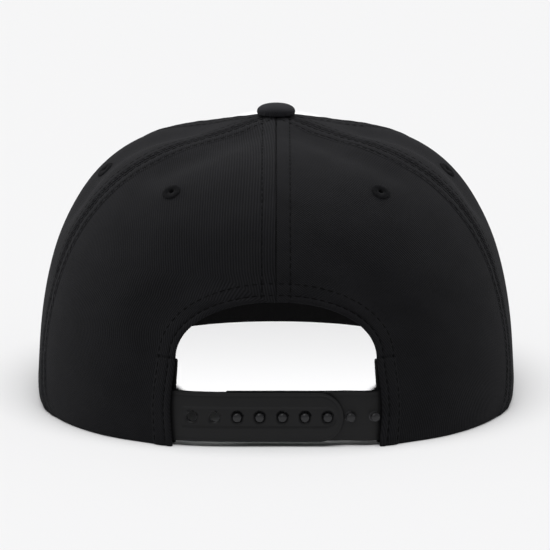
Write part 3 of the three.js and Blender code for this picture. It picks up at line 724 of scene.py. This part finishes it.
climbs = np.linspace(1, 1.93, 400)
azimuth = np.full_like(climbs, QUARTER)
latitude = climb_latitude(azimuth, climbs)
seam_line, seam_up = crown(azimuth, latitude), crown_normal(azimuth, latitude)
kept = seam_line[:, 2] > LADDER_FOOT
seam_line, seam_up = seam_line[kept], seam_up[kept]
reach = np.concatenate([[0], np.cumsum(np.linalg.norm(np.diff(seam_line, axis=0), axis=1))])
centres = np.arange(0, reach[-1], LADDER_PITCH)
spots = np.stack([np.interp(centres, reach, seam_line[:, axis]) for axis in range(3)], -1)
ups = unit(np.stack([np.interp(centres, reach, seam_up[:, axis]) for axis in range(3)], -1))
proud = np.interp(centres, reach, button_lift(seam_line))
spots = spots + ups * (proud - LADDER_SINK)[:, None]
slope = np.where(np.arange(len(centres)) % 2, 0.35, -0.35)
across = np.stack([np.ones_like(slope), 0 * slope, slope], -1) * LADDER_LENGTH / 2
lines = spots[:, None] + across[:, None] * np.linspace(-1, 1, 5)[:, None]
points, faces, cut = thread_pieces(lines, np.repeat(ups[:, None], 5, axis=1), thread=0.34)
ladder = make_piece("seam_ladder", placed(points), faces, cut * MM, sharp=80)
ladder.data.materials.append(topstitch_thread)
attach(ladder, "root")

# Eyelets: a ring of satin stitch worked by machine round each hole, in the same black thread. Every strand
# runs from the hole over a cord to the ring's edge, and their ends lie a little unevenly.
EYELET_STRANDS = 46
# The ring's section: radius and height over the cloth, from its edge to the hole
EYELET_FLANGE = [(3.7, -0.06), (3.62, 0.3), (3.3, 0.58), (2.8, 0.74),
                 (2.3, 0.78), (1.8, 0.7), (1.35, 0.5), (1.05, 0.2)]
EYELET_BORE = 0.92
STRAND_DEPTH = 0.16
STRAND_TWIST = 0.09

embroidery_thread = spun_thread("embroidery_thread", "#101011", "#222224")
for number, (place, panel) in enumerate(PANELS.items()):
    seat, direction = eyelet_seat(place)
    below = -panel["cloth"]
    profile = [*EYELET_FLANGE, (EYELET_BORE, -0.2), (EYELET_BORE, below + 0.2),
               *[(radius, below - height) for radius, height in reversed(EYELET_FLANGE)],
               (EYELET_BARREL - 0.06, below + 0.02), (EYELET_BARREL - 0.06, -0.04)]
    radius, height = np.array(profile).T
    flange = np.zeros(len(profile))
    flange[1:7], flange[11:17] = 1, -1
    angle = np.linspace(0, 2 * math.pi, EYELET_STRANDS * 6, endpoint=False)[:, None]
    strand = np.abs(np.cos(angle * EYELET_STRANDS / 2)) ** 0.6
    for half, sign in HALVES.items():
        chance = np.random.default_rng(40 + number * 2 + (sign < 0))
        ends = np.repeat(chance.uniform(-0.16, 0.1, EYELET_STRANDS), 6)[:, None]
        outside = ease(radius, 2.6, 3.6)
        ring_radius = radius + ends * outside
        ring_height = height - flange * STRAND_DEPTH * (1 - strand)
        turn = angle + STRAND_TWIST * outside
        points = np.stack([ring_radius * np.cos(turn), ring_radius * np.sin(turn),
                           np.broadcast_to(ring_height, turn.shape)], -1)
        index = np.arange(points[..., 0].size).reshape(points.shape[:2])
        beside, next_on = np.roll(index, -1, axis=0), np.roll(index, -1, axis=1)
        faces = np.stack([index, next_on, np.roll(beside, -1, axis=1), beside], -1).reshape(-1, 4)
        along = np.concatenate([[0], np.cumsum(np.hypot(np.diff(radius), np.diff(height)))])
        cut = np.stack(np.broadcast_arrays(along, angle * 2.2), -1).reshape(-1, 2)
        aim = direction * (sign, 1, 1)
        made = placed(stand_at(points.reshape(-1, 3), seat * (sign, 1, 1), aim))
        eyelet = make_piece(f"dressed_{place}_eyelet_{half}", made, faces[:, ::-1], cut * MM, sharp=80)
        eyelet.data.materials.append(embroidery_thread)
        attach(eyelet, "root")
        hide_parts(f"{place}_eyelet_{half}")

# Button: a metal blank covered with the same twill, which is drawn over its edge and gathered beneath in
# small pleats. Its twill lines run straight over the top and curve round the sides.
BUTTON_RADIUS = 7.5
BUTTON_HEIGHT = 4.3
BUTTON_BELLY = 1.0
BUTTON_RIM_SHARE = 0.93
BUTTON_SQUARENESS = 2.4
BUTTON_CLEARANCE = 0.9
STEM_RADIUS = 2.2
STEM_WASHER_RADIUS = 5
BUTTON_PLEATS = 17
PLEAT_DEPTH = 0.11


def crown_height_at(azimuth, radius):
    share = radius / outline_radius(azimuth, TOP_SQUARENESS)
    latitude = QUARTER - np.arcsin(share ** (around_crown(azimuth, "shoulder") / 2))
    return smooth_crown(azimuth, latitude)[2]


rim_radius = BUTTON_RADIUS * BUTTON_RIM_SHARE
rim_height = crown_height_at(0.0, rim_radius) + BUTTON_CLEARANCE
belly = rim_height + BUTTON_BELLY
steps = np.linspace(QUARTER, 0, 30)[1:]
dome = [(BUTTON_RADIUS * math.cos(a) ** (2 / BUTTON_SQUARENESS),
         mix(belly, rim_height + BUTTON_HEIGHT, math.sin(a) ** (2 / BUTTON_SQUARENESS))) for a in steps]
tuck_in = BUTTON_RADIUS - rim_radius
under = [(BUTTON_RADIUS - tuck_in * (1 - math.cos(a)), belly - BUTTON_BELLY * math.sin(a))
         for a in np.linspace(0, QUARTER, 8)[1:]]
washer_top = crown_height_at(-QUARTER, STEM_WASHER_RADIUS) - FRONT_CLOTH - LAYER_GAP
stem = [(rim_radius - 0.7, rim_height + 0.25), (STEM_RADIUS, CROWN_HEIGHT + CROWN_POINT),
        (STEM_RADIUS, washer_top), (STEM_WASHER_RADIUS - 0.2, washer_top),
        (STEM_WASHER_RADIUS, washer_top - 0.5), (STEM_WASHER_RADIUS - 0.4, washer_top - 1)]
profile = [(0, rim_height + BUTTON_HEIGHT), *dome, *under, *stem, (0, washer_top - 1)]
button = turned(profile[::-1], 128, "dressed_button")
corners = corners_of(button)
turn = np.arctan2(corners[:, 1], corners[:, 0])
distance = np.hypot(corners[:, 0], corners[:, 1])
low = (1 - ease(corners[:, 2], belly - 0.2, belly + 1.2)) * (corners[:, 2] > rim_height - 0.1)
pleats = np.sin(turn * BUTTON_PLEATS + 1.3 * np.sin(2 * turn)) + 0.5 * np.sin(turn * 31 + 0.7)
shrink = 1 - low * PLEAT_DEPTH * (1 + pleats) / BUTTON_RADIUS
corners[:, :2] *= shrink[:, None]
move_corners(button, placed(corners))
radii, heights = np.array(profile).T
arcs = np.concatenate([[0], np.cumsum(np.hypot(np.diff(radii), np.diff(heights)))])
arc = np.interp(-corners[:, 2], -heights[:37], arcs[:37])
layer = button.data.uv_layers.new(name="cut")
loops = np.zeros(len(button.data.loops), np.int32)
button.data.loops.foreach_get("vertex_index", loops)
cut = np.stack([arc * np.cos(turn + 0.5), arc * np.sin(turn + 0.5)], -1) * MM
layer.data.foreach_set("uv", cut[loops].astype(np.float32).ravel())
# The cloth is drawn tight over the blank; its colour is painted paler than the panels' twill, a painted
# highlight for the light the button's top gets from above.
button.data.materials.append(woven_twill("stretched_cotton_twill", "#121213", "#2c2c2f"))
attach(button, "root")
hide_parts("button")

# Peak: a stiff board between two layers of twill, sewn through in eight rows that follow its rim, which is
# folded round and half round in section. It is caught under the front panels by the seam behind them.
PEAK_ROWS = 8
PEAK_ROW_PITCH = 6
PEAK_FIRST_ROW = 5.5
PEAK_SINK = 0.3
PEAK_COLUMNS = 200
rim_steps = np.array([0, 0.02, 0.07, 0.15, 0.27, 0.42, 0.6, 0.8, 1.0])

share = np.linspace(0, 1, PEAK_COLUMNS + 1)
azimuth = -QUARTER + np.radians(PEAK_END_ANGLE) * (2 * share - 1)
inner = crown_at_height(azimuth, lower_edge(azimuth), FRONT_CLOTH) * (1, 1, 0)
rim = peak_rim(share)
thickness = peak_thickness(azimuth)
length = np.linalg.norm(rim - inner, axis=1)
rim_share = rim_steps[:, None] * thickness / 2 / length
inner_share = mix(rim_share[-1], 1, np.linspace(0, 1, 110)[1:, None])
back = np.concatenate([rim_share, inner_share])[::-1]
flat = rim + (inner - rim) * back[..., None]
from_rim = back * length
half_round = np.sqrt(np.clip(1 - (1 - np.clip(from_rim / (thickness / 2), 0, 1)) ** 2, 0, 1))
dense_rim = peak_rim(np.linspace(0, 1, 400))
true_distance = to_line(flat, dense_rim)[0]
sunk = 0
for row in range(PEAK_ROWS):
    offset = PEAK_FIRST_ROW + PEAK_ROW_PITCH * row
    sunk = sunk + PEAK_SINK * np.exp(-(((true_distance - offset) / 0.7) ** 2))
sunk = sunk * ease(thickness, 1.4, 2.6)
middle_height = peak_lift - peak_drop(flat[..., 0], flat[..., 1]) + thickness / 2
half_thickness = thickness / 2 * half_round - np.where(back > 0.98, 0, sunk)
top = np.concatenate([flat[..., :2], (middle_height + half_thickness)[..., None]], -1)
bottom = np.concatenate([flat[..., :2], (middle_height - half_thickness)[..., None]], -1)
points, faces = closed_wall(top, bottom)
peak_uv = np.concatenate([flat[..., :2].reshape(-1, 2)] * 2) @ np.array([(0.8, -0.6), (0.6, 0.8)]) * MM
peak = make_piece("dressed_peak", placed(points), faces, peak_uv, sharp=60)
peak.data.materials.append(twill)
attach(peak, "root")
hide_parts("peak")

parts = []
outwards = unit(np.cross(np.gradient(dense_rim, axis=0), (0, 0, 1)))
for row in range(PEAK_ROWS):
    line = dense_rim - outwards * (PEAK_FIRST_ROW + PEAK_ROW_PITCH * row)
    line_azimuth = np.arctan2(line[:, 1], line[:, 0])
    crown_there = crown_at_height(line_azimuth, 8 + 0 * line_azimuth)
    kept = np.hypot(line[:, 0], line[:, 1]) > np.hypot(crown_there[:, 0], crown_there[:, 1]) + 1
    kept &= line[:, 1] < peak_end[1] - 4
    kept &= to_line(line, dense_rim)[0] > PEAK_FIRST_ROW + PEAK_ROW_PITCH * row - 0.3
    line = line[kept]
    if len(line) < 8:
        continue
    line_thickness = peak_thickness(np.arctan2(line[:, 1], line[:, 0]))
    middle = peak_lift - peak_drop(line[:, 0], line[:, 1]) + line_thickness / 2
    for side in (1, -1):
        line[:, 2] = middle + side * (line_thickness / 2 - PEAK_SINK)
        up = np.broadcast_to((0.0, 0.0, float(side)), line.shape)
        points, faces, cut = sew(line, up, pitch=3.4, length=2.9)
        parts.append((points, faces, cut * MM))
points, faces, cut = join_parts(parts)
peak_stitching = make_piece("topstitching_peak", placed(points), faces, cut, sharp=80)
peak_stitching.data.materials.append(topstitch_thread)
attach(peak_stitching, "root")

# Sweatband: brushed cotton tape sewn round the inside of the base from tab to tab, with its top edge folded
# over and stitched. It stands off the cloth where the strap's ends are sewn in behind it.
BAND_HEIGHT = 32
BAND_THICKNESS = 1.4
BAND_LIFT = 0.5
BAND_END_HIDE = 2
STRAP_EASE_START = 36.5
BAND_POCKET_MARGIN = 2
BAND_POCKET_FADE = 20
BAND_FOLD = 9
BAND_STITCH_DROP = 7.5
RIB_SPACING = 1.1
STRAP_THICKNESS = 1.5
STRAP_ANCHOR = 14
STRAP_DIP = 4
STRAP_DIP_REACH = 46


def strap_dip(x):
    return STRAP_DIP * np.maximum(1 - (x / STRAP_DIP_REACH) ** 2, 0) ** 2


def band_inset(azimuth):
    forward = -np.sin(azimuth)
    front_start = -math.radians(FRONT_SEAM["base"])
    cloth = mix(SIDE_CLOTH, FRONT_CLOTH, ease(np.arcsin(forward), front_start * 0.6, front_start * 0.9))
    x = np.abs(smooth_crown(azimuth, 0 * azimuth)[..., 0])
    pocket_end = TAB_HALF_SPAN + STRAP_ANCHOR + BAND_POCKET_MARGIN
    pocket = 1 - ease(x, pocket_end, pocket_end + BAND_POCKET_FADE)
    behind = cloth + LAYER_GAP + strap_dip(x) + pocket * (STRAP_THICKNESS + LAYER_GAP)
    return np.where(forward > 0, cloth + LAYER_GAP, behind)


brushed = new_material("brushed_cotton_tape")
# Brushed cotton: the blackest cloth here, its raised fibres scatter light evenly, with a faint cross rib
cut = node(brushed, "UVMap", uv_map="cut").outputs["UV"]
grain = node(brushed, "Mapping", {"Vector": cut, "Scale": (1 / MM,) * 3}).outputs["Vector"]
rib = node(brushed, "TexWave", {"Vector": grain, "Scale": WAVE_PERIOD / RIB_SPACING, "Distortion": 1.5,
                                "Detail": 1}).outputs["Fac"]
fibres = node(brushed, "TexNoise", {"Vector": grain, "Scale": 1.8, "Detail": 4}).outputs["Fac"]
height = node(brushed, "Math", {0: rib, 1: 0.4, 2: fibres}, operation="MULTIPLY_ADD").outputs[0]
colour = node(brushed, "Mix", {"Factor": fibres, "A": linear("#0a0a0a"), "B": linear("#171718")},
              data_type="RGBA").outputs["Result"]
bump = node(brushed, "Bump", {"Height": height, "Distance": 0.12 * MM, "Strength": 0.6}).outputs["Normal"]
shader = node(brushed, "BsdfPrincipled", {"Base Color": colour, "Roughness": 1.0, "Specular IOR Level": 0.05,
                                          "Normal": bump, "Sheen Weight": 0.04, "Sheen Roughness": 0.6})
node(brushed, "OutputMaterial", {"Surface": shader.outputs["BSDF"]})

band_end = azimuth_at_width(np.array(ARCH_HALF_SPAN + BAND_END_HIDE), np.array(0.0))
azimuth = np.linspace(-math.pi - band_end, band_end, 281)
edge = np.maximum(lower_edge(azimuth) - peak_thickness(azimuth) - LAYER_GAP, 0) + BAND_LIFT
rise = np.linspace(0, 1, 31)[:, None] ** 0.9
heights = mix(edge, BAND_HEIGHT, rise)
from_top = BAND_HEIGHT - heights
roll = 0.5 * BAND_THICKNESS * (1 - np.sqrt(1 - np.clip(1 - from_top / 0.7, 0, 1) ** 2))
folded = 0.25 * (1 - ease(from_top, BAND_FOLD - 0.8, BAND_FOLD))
stitched = 0.22 * np.exp(-(((from_top - BAND_STITCH_DROP) / 0.7) ** 2))
waves = 0.12 * wobble(azimuth * 90, 7, (17, 29, 43)) * ease(from_top, 0, 12)
around = np.broadcast_to(azimuth, heights.shape)
inset = band_inset(around)
outer = crown_at_height(around, heights, inset + roll)
inner = crown_at_height(around, heights, inset + BAND_THICKNESS - roll + folded - stitched + waves * 0.5)
points, faces = closed_wall(outer, inner)
band_length = np.linalg.norm(np.diff(outer[0], axis=0), axis=1).sum()
along = (azimuth - azimuth[0]) / (azimuth[-1] - azimuth[0]) * band_length
cut = np.concatenate([np.stack(np.broadcast_arrays(along, heights), -1).reshape(-1, 2)] * 2) * MM
sweatband = make_piece("dressed_sweatband", placed(points), faces, cut, sharp=60)
sweatband.data.materials.append(brushed)
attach(sweatband, "root")
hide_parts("sweatband")

row_height = np.full_like(azimuth, BAND_HEIGHT - BAND_STITCH_DROP)
line = crown_at_height(azimuth, row_height, band_inset(azimuth) + BAND_THICKNESS + 0.03)
row_up = -crown_normal(azimuth, latitude_at_height(azimuth, row_height))
points, faces, cut = sew(line, row_up)
band_stitching = make_piece("topstitching_sweatband", placed(points), faces, cut * MM, sharp=80)
band_stitching.data.materials.append(topstitch_thread)
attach(band_stitching, "root")

# Strap: two pieces of injection moulded soft plastic, sewn in behind the tabs. Five of seven studs are
# pressed into the seven holes. Each hole has a sunk rim and lies in a shallow channel with a round end.
STRAP_HEIGHT = 18.9
STRAP_BOTTOM = 1.9
STRAP_LAP_GAP = 0.3
SNAP_COUNT = 7
# Along the flat strap; the snaps come closer when it is bent inside the crown's outline
SNAP_PITCH = 8.78
SNAPS_FASTENED = 5
FIRST_HOLE_X = 32.7
HOLE_RADIUS = 1.9
HOLE_RIM_RADIUS = 2.75
HOLE_RIM_DEPTH = 0.5
STUD_RADIUS = 1.6
STUD_RISE = 0.7
STUD_DOME = 0.7
CHANNEL_HEIGHT = 7.2
CHANNEL_DEPTH = 0.25
CHANNEL_MARGIN = 3.3
HOLED_END_MARGIN = 6.3
STUDDED_END_MARGIN = 4.5
STRAP_FILLET = 0.4
BORDER_LINE = 1.35
ROUGHNESS_SPREAD = 0.14
EROSION_DEPTH = 0.03
strap_middle = STRAP_BOTTOM + STRAP_HEIGHT / 2
snap_x = FIRST_HOLE_X - SNAP_PITCH * np.arange(SNAP_COUNT + SNAP_COUNT - SNAPS_FASTENED)
holed_end = snap_x[SNAP_COUNT - 1] - HOLED_END_MARGIN
anchor_x = TAB_HALF_SPAN + STRAP_ANCHOR
lap_depth = STRAP_THICKNESS + STRAP_LAP_GAP


def bent(points):
    """Bends flat strap shapes, in x, outwards and up, to lie inside the crown's outline between the tabs."""
    x, out, height = points.T
    inset = SIDE_CLOTH + LAYER_GAP + strap_dip(x) - out
    return crown_at_height(azimuth_at_width(x, height), height, inset)


def inside_band(x, height, left, right, low, high):
    """Distance in from the edge of a band whose right end is round and whose left end is square."""
    half = (high - low) / 2
    past = np.maximum(right + half - x, 0)
    return np.minimum(half - np.hypot(past, height - (low + high) / 2), left - x)


def strap_slab(left, right, round_end, spacing, front, thickness):
    """Flat slab with a filleted front edge: its front face's place outwards is front(x, height)."""
    columns, rows = round((left - right) / spacing), round(STRAP_HEIGHT / spacing * 1.4)
    angle = np.linspace(-QUARTER, QUARTER, rows + 1)[:, None]
    height = STRAP_BOTTOM + STRAP_HEIGHT * (1 + np.sin(angle)) / 2
    end = right + STRAP_HEIGHT / 2 * (1 - np.cos(angle)) if round_end else right + 0 * angle
    x = mix(left, end, np.linspace(0, 1, columns + 1) ** 0.97)
    height = np.broadcast_to(height, x.shape)
    if round_end:
        edge = inside_band(x, height, left + 9, right, STRAP_BOTTOM, STRAP_BOTTOM + STRAP_HEIGHT)
    else:
        edge = np.minimum(height - STRAP_BOTTOM, STRAP_BOTTOM + STRAP_HEIGHT - height)
    inward = np.clip(STRAP_FILLET - edge, 0, STRAP_FILLET)
    fillet = STRAP_FILLET - np.sqrt(STRAP_FILLET**2 - inward**2)
    line = 0.1 * np.exp(-(((edge - BORDER_LINE) / 0.22) ** 2))
    out = front(x, height)
    slab = [np.stack([x, face, height], -1) for face in (out - fillet * 0.85 - line, out - thickness)]
    return closed_wall(*slab)


def moulded_plastic(name, dark, light, smoothest):
    """Injection moulded soft plastic: satin, from a finely spark-eroded mould, with dim broad highlights."""
    material = new_material(name)
    place_in_frame = node(material, "TexCoord").outputs["Object"]
    grain = node(material, "Mapping", {"Vector": place_in_frame, "Scale": (1 / MM,) * 3}).outputs["Vector"]
    erosion = node(material, "TexNoise", {"Vector": grain, "Scale": 2.2, "Detail": 4}).outputs["Fac"]
    flow = node(material, "TexNoise", {"Vector": grain, "Scale": 0.12, "Detail": 2}).outputs["Fac"]
    colour = node(material, "Mix", {"Factor": flow, "A": linear(dark), "B": linear(light)},
                  data_type="RGBA").outputs["Result"]
    rough = node(material, "MapRange", {"Value": erosion, "To Min": smoothest,
                                        "To Max": smoothest + ROUGHNESS_SPREAD})
    bump = node(material, "Bump", {"Height": erosion, "Distance": EROSION_DEPTH * MM, "Strength": 0.5})
    shader = node(material, "BsdfPrincipled", {"Base Color": colour, "Roughness": rough.outputs["Result"],
                                               "Normal": bump.outputs["Normal"], "Specular IOR Level": 0.2})
    node(material, "OutputMaterial", {"Surface": shader.outputs["BSDF"]})
    return material


soft_plastic = moulded_plastic("moulded_soft_plastic", "#131314", "#171718", 0.34)
# The studs are glossier, as from a polished part of the mould, and their colour is painted paler than the
# strap's: a painted highlight for the light their domed heads catch.
stud_plastic = moulded_plastic("polished_soft_plastic", "#2a2a2b", "#303032", 0.16)


def channel_floor(x, height):
    edge = inside_band(x, height, snap_x[0] + CHANNEL_MARGIN, snap_x[SNAP_COUNT - 1] - CHANNEL_MARGIN,
                       strap_middle - CHANNEL_HEIGHT / 2, strap_middle + CHANNEL_HEIGHT / 2)
    return -CHANNEL_DEPTH * ease(edge, -0.12, 0.12)


points, faces = strap_slab(anchor_x, holed_end, True, 0.36, channel_floor, STRAP_THICKNESS)
holed = make_piece("dressed_strap_holes", points, faces, sharp=35)
for x in snap_x[:SNAP_COUNT]:
    floor_level = -CHANNEL_DEPTH
    sides = [(0, -4), (HOLE_RADIUS, -4), (HOLE_RADIUS, floor_level - HOLE_RIM_DEPTH),
             (HOLE_RIM_RADIUS, floor_level), (HOLE_RIM_RADIUS, 3), (0, 3)]
    drill = turned(sides, 40)
    move_corners(drill, stand_at(corners_of(drill), (x, 0, strap_middle), (0, 1, 0)))
    carve(holed, drill, "DIFFERENCE")
move_corners(holed, placed(bent(corners_of(holed))))


def studded_out(x):
    return -lap_depth * ease(x, -STRAP_EASE_START, holed_end - STRAP_LAP_GAP)


first_stud = SNAP_COUNT - SNAPS_FASTENED
points, faces = strap_slab(snap_x[first_stud] + STUDDED_END_MARGIN, -anchor_x, False, 0.7,
                           lambda x, height: studded_out(x), STRAP_THICKNESS)
parts = [(points, faces.tolist(), points[:, :2])]
slab_faces = len(faces)
head = lap_depth + STUD_RISE
foot_radius, head_radius, neck_radius = STUD_RADIUS + 0.45, STUD_RADIUS + 0.1, STUD_RADIUS - 0.06
foot = [(foot_radius, -0.7), (foot_radius, -0.02), (head_radius, 0.12)]
neck = [(neck_radius, 0.45), (neck_radius, head - 1.15), (head_radius, head - 0.8)]
dome = [(head_radius * math.cos(a) ** 0.8, head - STUD_DOME + STUD_DOME * math.sin(a))
        for a in np.linspace(0, QUARTER, 7)[:-1]]
for x in snap_x[first_stud:first_stud + SNAP_COUNT]:
    stud = turned([(0, -0.7), *foot, *neck, *dome, (0, head)], 28)
    corners = corners_of(stud)
    stud_faces = [list(face.vertices) for face in stud.data.polygons]
    bpy.data.objects.remove(stud)
    stood = stand_at(corners, (x, studded_out(x), strap_middle), (0, 1, 0))
    parts.append((stood, stud_faces, corners[:, :2]))
points, faces, _ = join_parts(parts)
studded = make_piece("dressed_strap_studs", placed(bent(points)), faces, sharp=35)
for strap, node_name in ((holed, "strap_holes"), (studded, "strap_studs")):
    strap.data.materials.clear()
    strap.data.materials.append(soft_plastic)
    strap.data.materials.append(stud_plastic)
    for polygon in strap.data.polygons:
        polygon.use_smooth = True
        polygon.material_index = int(strap is studded and polygon.index >= slab_faces)
    strap.data.set_sharp_from_angle(angle=math.radians(35))
    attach(strap, "root")
    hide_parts(node_name)

# Studio: a pale paper floor under soft lights. The camera looks at the back of the cap from a little above,
# through a long lens, as in the photograph.
LENS_PIXELS = 3534.8
IMAGE_PIXELS = 550
SENSOR = 36
CAMERA_DISTANCE = 1400
CAMERA_RISE = 12
AIM = (0.42, 0, 46)

camera_data = bpy.data.cameras.new("camera")
camera_data.sensor_width = SENSOR
camera_data.lens = LENS_PIXELS * SENSOR / IMAGE_PIXELS
camera_data.clip_end = 50
camera = bpy.data.objects.new("camera", camera_data)
bpy.context.scene.collection.objects.link(camera)
bpy.context.scene.camera = camera


def look(thing, aim, azimuth, rise, distance):
    """Puts a camera or light at an azimuth from the rear and a rise, in degrees, looking at a place."""
    turn, climb = math.radians(azimuth), math.radians(rise)
    away = Vector((-math.sin(turn) * math.cos(climb), math.cos(turn) * math.cos(climb), math.sin(climb)))
    target = Vector(placed(np.array(aim, float)))
    thing.location = target + away * distance * MM
    thing.rotation_euler = away.to_track_quat("Z", "Y").to_euler()


look(camera, AIM, 0, CAMERA_RISE, CAMERA_DISTANCE)

# Soft boxes: azimuth from the rear (positive to the picture's right), rise, distance, size and power
LIGHTS = {
    "key": {"azimuth": -18, "rise": 48, "distance": 1500, "size": 900, "power": 8.2},
    "left_edge": {"azimuth": -112, "rise": 22, "distance": 1100, "size": 800, "power": 7.6},
    "right_edge": {"azimuth": 112, "rise": 22, "distance": 1100, "size": 800, "power": 5.6},
    "top": {"azimuth": 180, "rise": 66, "distance": 1300, "size": 900, "power": 21.5},
}
for name, light in LIGHTS.items():
    lamp = bpy.data.lights.new(name, "AREA")
    lamp.size = light["size"] * MM
    lamp.energy = light["power"]
    holder = bpy.data.objects.new(name, lamp)
    bpy.context.scene.collection.objects.link(holder)
    look(holder, (0, 0, 50), light["azimuth"], light["rise"], light["distance"])

world = bpy.data.worlds.new("studio")
world.use_nodes = True
world.node_tree.nodes["Background"].inputs["Color"].default_value = linear("#ffffff")
world.node_tree.nodes["Background"].inputs["Strength"].default_value = 0.2
bpy.context.scene.world = world
bpy.context.scene.view_settings.view_transform = "Standard"


paper = new_material("matt_paper_sweep")
mottle = node(paper, "TexNoise", {"Scale": 3.0, "Detail": 2}).outputs["Fac"]
white = node(paper, "Mix", {"Factor": mottle, "A": linear("#eeeeef"), "B": linear("#f0f0f0")},
             data_type="RGBA").outputs["Result"]
sheet = node(paper, "BsdfPrincipled", {"Base Color": white, "Roughness": 0.9, "Specular IOR Level": 0.2})
node(paper, "OutputMaterial", {"Surface": sheet.outputs["BSDF"]})
half_floor = 6.0
floor_corners = np.array([(-1, -1, 0), (1, -1, 0), (1, 1, 0), (-1, 1, 0)]) * half_floor
floor = make_piece("paper_floor", floor_corners, [(0, 1, 2, 3)])
floor.data.materials.append(paper)

# The cap's own lights spare the paper, and two lights fall on it alone, as the photograph's white ground
# asks: a very soft one from overhead, and a narrow one from the camera's place. That one whitens the paper
# seen through the arch, which would be grey, and stays above the strap's holes, which would show it.
ARCH_AIM = (0, 97, 70)
ARCH_SPOT_RADIUS = 57.3
spared_paper = bpy.data.collections.new("spared_paper")
spared_paper.objects.link(floor)
spared_paper.collection_objects[0].light_linking.link_state = "EXCLUDE"
for name in LIGHTS:
    bpy.data.objects[name].light_linking.receiver_collection = spared_paper
lit_paper = bpy.data.collections.new("lit_paper")
lit_paper.objects.link(floor)
overhead = bpy.data.lights.new("paper_overhead", "SUN")
overhead.energy = 2.85
overhead.angle = math.radians(60)
arch_spot = bpy.data.lights.new("paper_through_arch", "SPOT")
arch_spot.energy = 390
arch_spot.shadow_soft_size = 1 * MM
arch_spot.spot_blend = 0.01
for lamp in (overhead, arch_spot):
    holder = bpy.data.objects.new(lamp.name, lamp)
    bpy.context.scene.collection.objects.link(holder)
    holder.light_linking.receiver_collection = lit_paper
look(bpy.data.objects["paper_overhead"], (0, 0, 50), 0, 80, 1900)
away = camera.location - Vector(placed(np.array(ARCH_AIM, float)))
holder.location = camera.location
holder.rotation_euler = away.to_track_quat("Z", "Y").to_euler()
arch_spot.spot_size = 2 * math.atan(ARCH_SPOT_RADIUS * MM / away.length)
